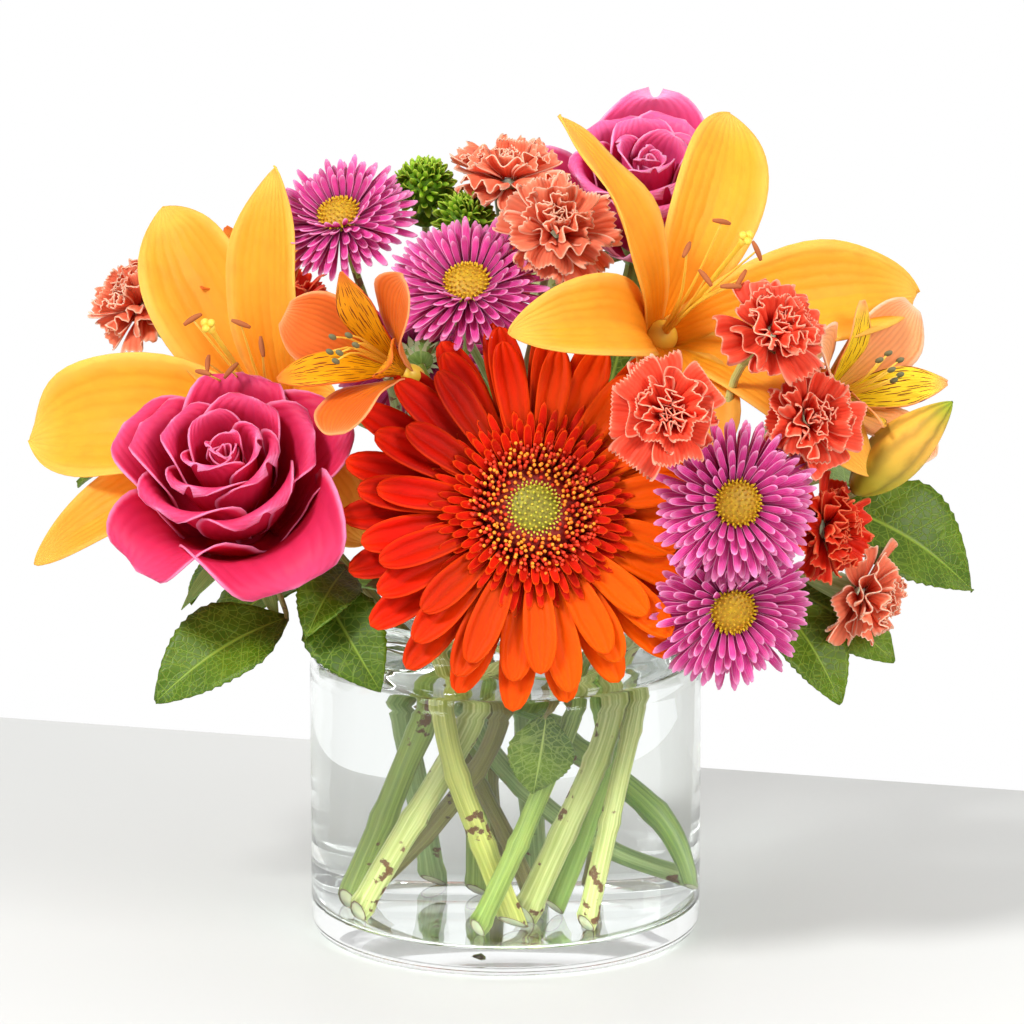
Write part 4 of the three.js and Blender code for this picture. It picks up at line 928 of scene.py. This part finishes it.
tepal_looks = {
    "salmon": (
        broad_look("alstroemeria_broad", "D88010", "DA641C", "E87C3C", "F29A62"),
        marked_look("alstroemeria_marked", "E8A808", "E6900E", "DE6E24"),
    ),
    "peach": (
        broad_look("alstroemeria_peach", "E0B040", "EE9E66", "F2AE84", "F6C4A0"),
        marked_look("alstroemeria_yellow", "E8C81C", "EEC230", "EE9C60"),
    ),
}
brown = material("alstroemeria_anther", base_color=tint("6B6A4A"), roughness=0.8)[0]
for name, where, random, size, look in blooms(ALSTROEMERIAS):
    where = where @ Matrix.Scale(size, 4)
    broad, narrow = growth(), growth()
    ring(broad, BROAD, 0.1, random, 16, 8)
    ring(narrow, NARROW, 0.1, random, 16, 6)
    stalks, tips = growth(), growth()
    for k in range(6):
        angle = radians(60 * k + 10)
        end = Vector((4.5 * cos(angle), 4.5 * sin(angle) - 3, mix(15, 22, next(random))))
        rod(stalks, [(0, 0, -12), end * 0.5 + Vector((0, 2, 0)), end], (0.5, 0.28), 8, 6)
        bead(tips, end, (0.9, 0.9, 1.8), 0.0, 2)
    bead(stalks, (0, 0, -18.5), (3.6, 3.6, 5), 0.0, 3)
    plain, dashed = tepal_looks[look]
    finished(name + "_broad_tepals", broad, [name], plain, where, PETAL_THICKNESS)
    finished(name + "_marked_tepals", narrow, [], dashed, where, PETAL_THICKNESS)
    finished(name + "_filaments", stalks, [], filament, where)
    finished(name + "_anthers", tips, [], brown, where)

# ---- The button chrysanthemums ----
# Small green domes of closed, curled florets.

BUTTONS = (("button_high", 20, (-26, 10, 242), 0, 70), ("button_middle", 21, (-13, -5, 234), 0, 60))
CURLED = dict(
    angle=0, start=0.9, rise=0, width=2.5, wrap=1.1, lift=72, curl=62, root=0.6, widest=0.5, blunt=0.7
)
BUTTON_FLORETS = 120
fresh = petal_look(
    "button_floret", "446C08", "76A416", "AECC44", root_reach=0.7, tip_reach=0.5, tone_range=0.35
)
for name, where, random in blooms(BUTTONS):
    bm = growth()
    bead(bm, (0, 0, 0), (7.4, 7.4, 7.0), 0.2, 3)
    for k in range(BUTTON_FLORETS):
        polar = radians(mix(4, 118, (k + 0.5) / BUTTON_FLORETS))
        angle = k * GOLDEN_ANGLE
        wide = sin(polar)
        normal = Vector((cos(angle) * wide, sin(angle) * wide, cos(polar)))
        floret = dict(CURLED, length=4.4 + next(random))
        made = sheet(bm, 6, 3, petal_place(floret), next(random))
        turn = Matrix.Rotation(next(random) * tau, 4, "Z")
        bmesh.ops.transform(bm, matrix=lean_to(normal * 6.4, normal) @ turn, verts=made)
    bead(bm, (0, 0, -10.5), (4.6, 4.6, 2.2), 0.1, 2)
    finished(name + "_florets", bm, [name], fresh, where, FINE_PETAL)

# ---- The stems ----
# Bare cut stems that cross in the vase and rest on its floor, where their slanted ends show pale
# pith. Nodes swell them every few centimetres. Each has a radius, its way upwards, the radius and the
# ways of its twigs, and its skin.

STEMS = (
    ("lily_right", 3.6, (
        (-42, -22, 11), (-30, -22, 34), (-18, -21, 57), (-7, -20, 81), (3, -15, 104), (13, -12, 128),
        (22, -10, 152)), 2, (
        ((32, -11, 169), (40, -11, 188), (47, -25, 199)),
        ((45, -20, 149), (68, -30, 147), (90, -41, 146), (110, -51, 157))), "pale"),
    ("rose_back", 3.3, (
        (-41, -5, 11), (-32, -5, 36), (-24, -6, 62), (-15, -4, 87), (-5, 0, 111), (4, 5, 136), (14, 12, 160),
        (26, 26, 179), (38, 41, 197), (44, 38, 220)), 0, (), "mid"),
    ("carnation_right", 3.8, (
        (5, -17, 11), (15, -18, 38), (25, -19, 65), (33, -18, 93), (44, -26, 117), (58, -42, 136)), 1.5, (
        ((54, -59, 155), (50, -74, 176), (50, -94, 190)),
        ((63, -49, 156), (68, -55, 176), (72, -60, 196), (80, -73, 210)),
        ((70, -48, 153), (79, -53, 172), (91, -67, 183)),
        ((71, -46, 139), (83, -50, 146), (95, -57, 147)),
        ((75, -40, 129), (93, -37, 127), (109, -45, 123))), "pale"),
    ("aster_right", 3.0, (
        (-8, -38, 11), (2, -37, 35), (11, -36, 59), (20, -35, 83), (28, -35, 107), (42, -50, 122)), 1.5, (
        ((55, -59, 136), (65, -65, 153), (71, -83, 161)),
        ((55, -56, 123), (66, -63, 129), (70, -77, 127))), "fresh"),
    ("lily_left", 3.4, (
        (2, -28, 11), (-6, -29, 37), (-14, -29, 63), (-19, -27, 90), (-24, -23, 116), (-34, -14, 138),
        (-52, 4, 148), (-67, -1, 162)), 0, (), "yellow"),
    ("alstroemeria_right", 3.0, (
        (23, -33, 11), (28, -27, 38), (33, -22, 65), (38, -11, 91), (47, 1, 114), (62, 4, 138)), 2, (
        ((74, -8, 152), (84, -17, 169), (98, -29, 180)),
        ((59, 19, 149), (55, 31, 162), (66, 41, 172))), "pale"),
    ("rose_left", 3.4, (
        (52, -2, 13), (40, 0, 36), (23, 6, 55), (5, 11, 74), (-11, 11, 95), (-28, 1, 111), (-46, -16, 120),
        (-70, -25, 125), (-82, -39, 140)), 0, (), "dark"),
    ("alstroemeria_left", 2.7, (
        (45, 12, 12), (22, 13, 27), (4, 17, 47), (-9, 19, 71), (-18, 23, 96), (-24, 15, 121), (-29, 1, 144),
        (-34, -14, 166)), 1.8, (
        ((-34, -31, 174), (-35, -45, 186), (-37, -59, 196)),
        ((-50, 4, 169), (-65, 22, 174), (-75, 22, 192))), "grey"),
    ("carnation_top", 2.5, (
        (-33, 10, 10), (-18, 7, 34), (-5, 4, 60), (2, 0, 87), (5, -4, 115), (4, -5, 143),
        (3, -6, 172)), 1.4, (
        ((8, -13, 194), (12, -19, 216), (15, -33, 234)),
        ((2, -1, 195), (1, 4, 218), (1, 2, 242)),
        ((6, 18, 177), (9, 41, 186), (13, 61, 200))), "brown"),
    ("aster_left", 2.5, (
        (-6, 24, 10), (-6, 24, 39), (-7, 25, 67), (-10, 27, 95), (-16, 28, 123), (-24, 26, 150)), 1.4, (
        ((-20, 9, 165), (-16, -7, 182), (-12, -22, 199), (-12, -37, 218)),
        ((-32, 18, 171), (-40, 10, 192), (-47, 4, 213), (-52, -7, 233)),
        ((-25, 41, 157), (-25, 53, 167), (-29, 67, 174))), "mid"),
    ("button", 2.4, (
        (6, 36, 10), (5, 36, 39), (4, 36, 68), (6, 36, 96), (6, 36, 125), (6, 36, 154)), 1.4, (
        ((-4, 30, 173), (-14, 25, 193), (-24, 20, 213), (-26, 13, 234)),
        ((0, 26, 172), (-6, 17, 190), (-12, 9, 208), (-13, -1, 227))), "grey"),
    ("carnation_left", 2.4, (
        (-14, 38, 10), (-17, 36, 40), (-21, 32, 69), (-27, 25, 98), (-43, 22, 123), (-62, 22, 146)), 1.4, (
        ((-81, 20, 162), (-98, 19, 181), (-115, 12, 199)),
        ((-62, 33, 160), (-61, 42, 176), (-69, 54, 186))), "grey"),
    ("salal_left", 2.0, (
        (6, 16, 10), (-2, 17, 37), (-12, 16, 63), (-27, 11, 87), (-44, 8, 109),
        (-62, 10, 130)), 0, (), "brown"),
    ("salal_right", 2.0, (
        (18, 24, 10), (21, 23, 37), (25, 22, 64), (30, 20, 91), (45, 15, 113), (66, 6, 128)), 0, (), "brown"),
    ("salal_back", 2.0, (
        (-2, 46, 10), (-3, 46, 35), (-4, 46, 61), (-5, 44, 86), (-6, 45, 111),
        (-6, 50, 136)), 0, (), "brown"),
)
SKINS = {
    "pale": stem_look("stem_pale", "8FA030", "DDE29A", scars=0.8),
    "mid": stem_look("stem_mid", "5C7A18", "AEC060", scars=0.6),
    "fresh": stem_look("stem_fresh", "567414", "A4B85C", scars=0.4),
    "yellow": stem_look("stem_yellow", "8C9820", "D6D878", scars=0.7),
    "dark": stem_look("stem_dark", "486E14", "92AE4C", scars=0.7),
    "grey": stem_look("stem_grey", "64823A", "AEC27E", scars=0.5),
    "brown": stem_look("stem_brown", "6A5A2A", "94904C", "4A2C12", scars=0.6),
}


def swelling(radius):
    """The radius along a main stem: it tapers a little, and swells at each node."""
    joint = 0.17 + 0.05 * sin(radius * 9)

    def width(u):
        near = abs((u / joint + 0.4) % 1 - 0.5) * joint
        return radius * (mix(1.04, 0.9, u) + 0.16 * exp(-((near / 0.012) ** 2)))

    return width


for plant, radius, way, twig, twigs, skin in STEMS:
    bm = growth()
    rod(bm, way, swelling(radius), 46, 12, cut=1.0)
    for points in twigs:
        rod(bm, (way[-1], *points), (1.1 * twig, 0.85 * twig), 16, 8)
    bmesh.ops.recalc_face_normals(bm, faces=bm.faces)
    finished(plant + "_stalk", bm, [plant + "_stem"], SKINS[skin])

# ---- The leaves ----
# Leathery, finely toothed leaves with a pale netted vein pattern, on short brown stalks. Each has
# its foot, its tip, the way its upper side looks and its width.

LEAVES = {
    "rose_left": (
        ((-69, -55, 117), (-110, -72, 94), (-0.3, -0.7, 0.6), 31),
        ((-58, -62, 128), (-39, -82, 100), (-0.2, -0.8, 0.5), 26),
        ((-50, -58, 134), (-62, -84, 118), (-0.2, -0.9, 0.3), 20),
    ),
    "salal_right": (
        ((106, -22, 146), (149.5, -25, 118), (0.4, -0.7, 0.6), 36),
        ((86, -44, 120), (106, -60, 90), (0.3, -0.8, 0.4), 24),
        ((86, -30, 122), (124, -38, 98), (0.4, -0.7, 0.5), 26),
        ((104, 12, 146), (132, 40, 116), (0.6, 0.3, 0.7), 36),
        ((62, 34, 130), (88, 62, 98), (0.5, 0.6, 0.6), 34),
    ),
    "salal_left": (
        ((-96, 22, 150), (-140, 30, 140), (-0.5, 0.1, 0.8), 38),
        ((-66, 24, 126), (-104, 38, 98), (-0.6, 0.3, 0.7), 36),
        ((-60, 2, 118), (-98, -14, 92), (-0.6, -0.3, 0.7), 32),
    ),
    "salal_back": (
        ((-14, 62, 138), (-36, 92, 110), (-0.2, 0.7, 0.6), 36),
        ((18, 62, 142), (40, 94, 118), (0.2, 0.7, 0.6), 36),
        ((-34, 66, 152), (-66, 92, 142), (-0.3, 0.6, 0.7), 36),
        ((28, 52, 152), (40, 68, 188), (0.3, 0.9, -0.3), 30),
        ((-4, 58, 150), (-6, 82, 180), (-0.1, 0.8, -0.5), 30),
    ),
    "aster_right": (((12, -42, 83), (8, -40, 57), (0.1, -1, 0.1), 20),),
}
WAYS = {plant: [Vector(point) for point in way] for plant, _, way, _, _, _ in STEMS}
SIDE_VEINS = 9
VEIN_SLANT = 0.16
TEETH = 17

# Leaf green: a pale midrib and side veins that leave it at a slant, a fine net between them, and
# darker flesh away from the veins.
leaf_paint, on, given = group("leaf_paint", ("Flesh", "Dark", "Vein"))
across, along, _ = on.split(on.petal_map())
side = on.math("ABSOLUTE", on.times(across, 2.0, -1.0))
midrib = on.less(1.0, on.step(side, 0.01, 0.06))
slant = on.less(along, on.times(side, VEIN_SLANT))
wave = on.math("ABSOLUTE", on.math("SINE", on.times(slant, pi * SIDE_VEINS)))
ribs = on.less(1.0, on.step(wave, 0.02, 0.16))
net = on.node("TexVoronoi", {"Vector": on.spots(), "Scale": 420.0}, feature="DISTANCE_TO_EDGE")
threads = on.less(1.0, on.step(net.outputs["Distance"], 0.0, 0.12))
veins = on.math("MAXIMUM", midrib, on.times(ribs, 0.55))
veins = on.math("MAXIMUM", veins, on.times(threads, 0.4))
drift = on.noise(60.0, 3.0)
color = on.mixed(on.step(drift, 0.35, 0.7), given["Dark"], given["Flesh"])
hand_on(on, on.mixed(veins, color, given["Vein"]), on.less(drift, veins))


def leaf_look(name, flesh, dark, vein):
    """A leaf's material."""
    return painted(
        name, leaf_paint, {"flesh": flesh, "dark": dark, "vein": vein}, 0.4, 0.0005, roughness=0.45,
        subsurface_weight=0.12, subsurface_scale=0.0015, specular_ior_level=0.3,
    )


def leaf_place(base, tip, face, width, index):
    """The surface of a leaf: bowed lengthwise, folded along its midrib, quilted between its veins."""
    along = (tip - base).normalized()
    across = Vector(face).cross(along).normalized()
    upward = along.cross(across)
    length = (tip - base).length

    def place(u, v):
        half = width / 2 * outline(u, root=0.08, widest=0.42, tip=0.0, blunt=0.85)
        tooth = 1 + 0.03 * abs(v) ** 6 * cos(u * 2 * TEETH * pi)
        bow = 0.1 * length * sin(pi * u) + 0.26 * half * abs(v)
        quilt = sin(pi * SIDE_VEINS * (u - VEIN_SLANT * abs(v)))
        bow += 0.6 * quilt * abs(v) * (1 - abs(v) ** 3)
        bow += 1.2 * v * sin(u * 5 + index * 2)
        return base + along * length * u + across * half * v * tooth + upward * bow

    return place


salal = leaf_look("salal_leaf", "5C7804", "466204", "86A030")
LEAF_LOOKS = {
    "rose_left": leaf_look("rose_leaf", "4E6C04", "3C5804", "7E982E"),
    "aster_right": leaf_look("aster_leaf", "6A8418", "46600C", "A4B45C"),
}
for plant, leaves in LEAVES.items():
    blades, stalks = growth(), growth()
    for index, (base, tip, face, width) in enumerate(leaves):
        base, tip = Vector(base), Vector(tip)
        sheet(blades, 36, 12, leaf_place(base, tip, face, width, index), 0.5)
        near = min(WAYS[plant], key=lambda point, base=base: (point - base).length)
        middle = (near + base) / 2 + Vector((0, 0, 3))
        rod(stalks, [near, middle, base, base + (tip - base) * 0.12], (1.3, 0.7), 14, 8)
    finished(plant + "_blades", blades, [], LEAF_LOOKS.get(plant, salal), thickness=0.45)
    finished(plant + "_leaf_stalks", stalks, [], SKINS["brown"])

# ---- The floor, the light and the camera ----
# A plain pale table top in front of a bright wall, three soft lights and an open room around it. The
# table's far edge runs at a slant behind the vase, as in the photo. A long lens looks down a little.

TABLE_REACH, TABLE_SLANT = 2.0, -15
bm = bmesh.new()
bmesh.ops.create_grid(bm, x_segments=1, y_segments=1, size=TABLE_REACH)
# It lies a hair under the vase, and ends 0.2 m behind its axis.
bmesh.ops.translate(bm, vec=(0, 0.2 - TABLE_REACH, -0.0004), verts=bm.verts)
bmesh.ops.rotate(bm, matrix=Matrix.Rotation(radians(TABLE_SLANT), 3, "Z"), verts=bm.verts)
mesh = bpy.data.meshes.new("floor")
bm.to_mesh(mesh)
bm.free()
mesh.materials.append(material("pale_floor", base_color=(0.66, 0.665, 0.65, 1), roughness=0.55)[0])
floor = in_scene("floor", mesh)

scene = bpy.context.scene
scene.world = bpy.data.worlds.new("studio")
scene.world.use_nodes = True
on = Tree(scene.world.node_tree)
room = on.nodes["Background"]
room.inputs["Color"].default_value = (1.0, 1.0, 1.0, 1)
# The room is white to the eye, but it lights the bouquet less from the camera's side.
away = on.split(on.node("TexCoord").outputs["Generated"])[1]
ray = on.node("LightPath").outputs
seen = on.math("MAXIMUM", ray["Is Camera Ray"], ray["Is Transmission Ray"])
on.link(on.math("MAXIMUM", on.times(away, 0.33, 0.67), seen), room.inputs["Strength"])


def aimed(thing, place, target):
    """Puts a lamp or the camera at a place, pointed at a target."""
    thing.location = place
    thing.rotation_euler = (Vector(target) - Vector(place)).to_track_quat("-Z", "Y").to_euler()


for name, place, target, size, power in (
    ("key_light", (-1.5, -1.7, 2.5), (0, 0, 0.15), 0.7, 84),
    ("side_light", (0.9, -1.0, 0.9), (0, 0, 0.2), 0.6, 14),
    ("low_light", (-1.3, -1.4, 0.35), (0, 0, 0.06), 0.5, 5),
):
    lamp = bpy.data.lights.new(name, "AREA")
    lamp.shape = "DISK"
    lamp.size = size
    lamp.energy = power
    aimed(in_scene(name, lamp), place, target)

view = bpy.data.cameras.new("camera")
view.lens = 246.4
view.sensor_width = 36
scene.camera = in_scene("camera", view)
aimed(scene.camera, (0.0021, -2.2, 0.668), (0.0021, 0, 0.138))
scene.view_settings.view_transform = "Standard"
scene.cycles.max_bounces = 24
scene.cycles.transmission_bounces = 24
scene.cycles.glossy_bounces = 16
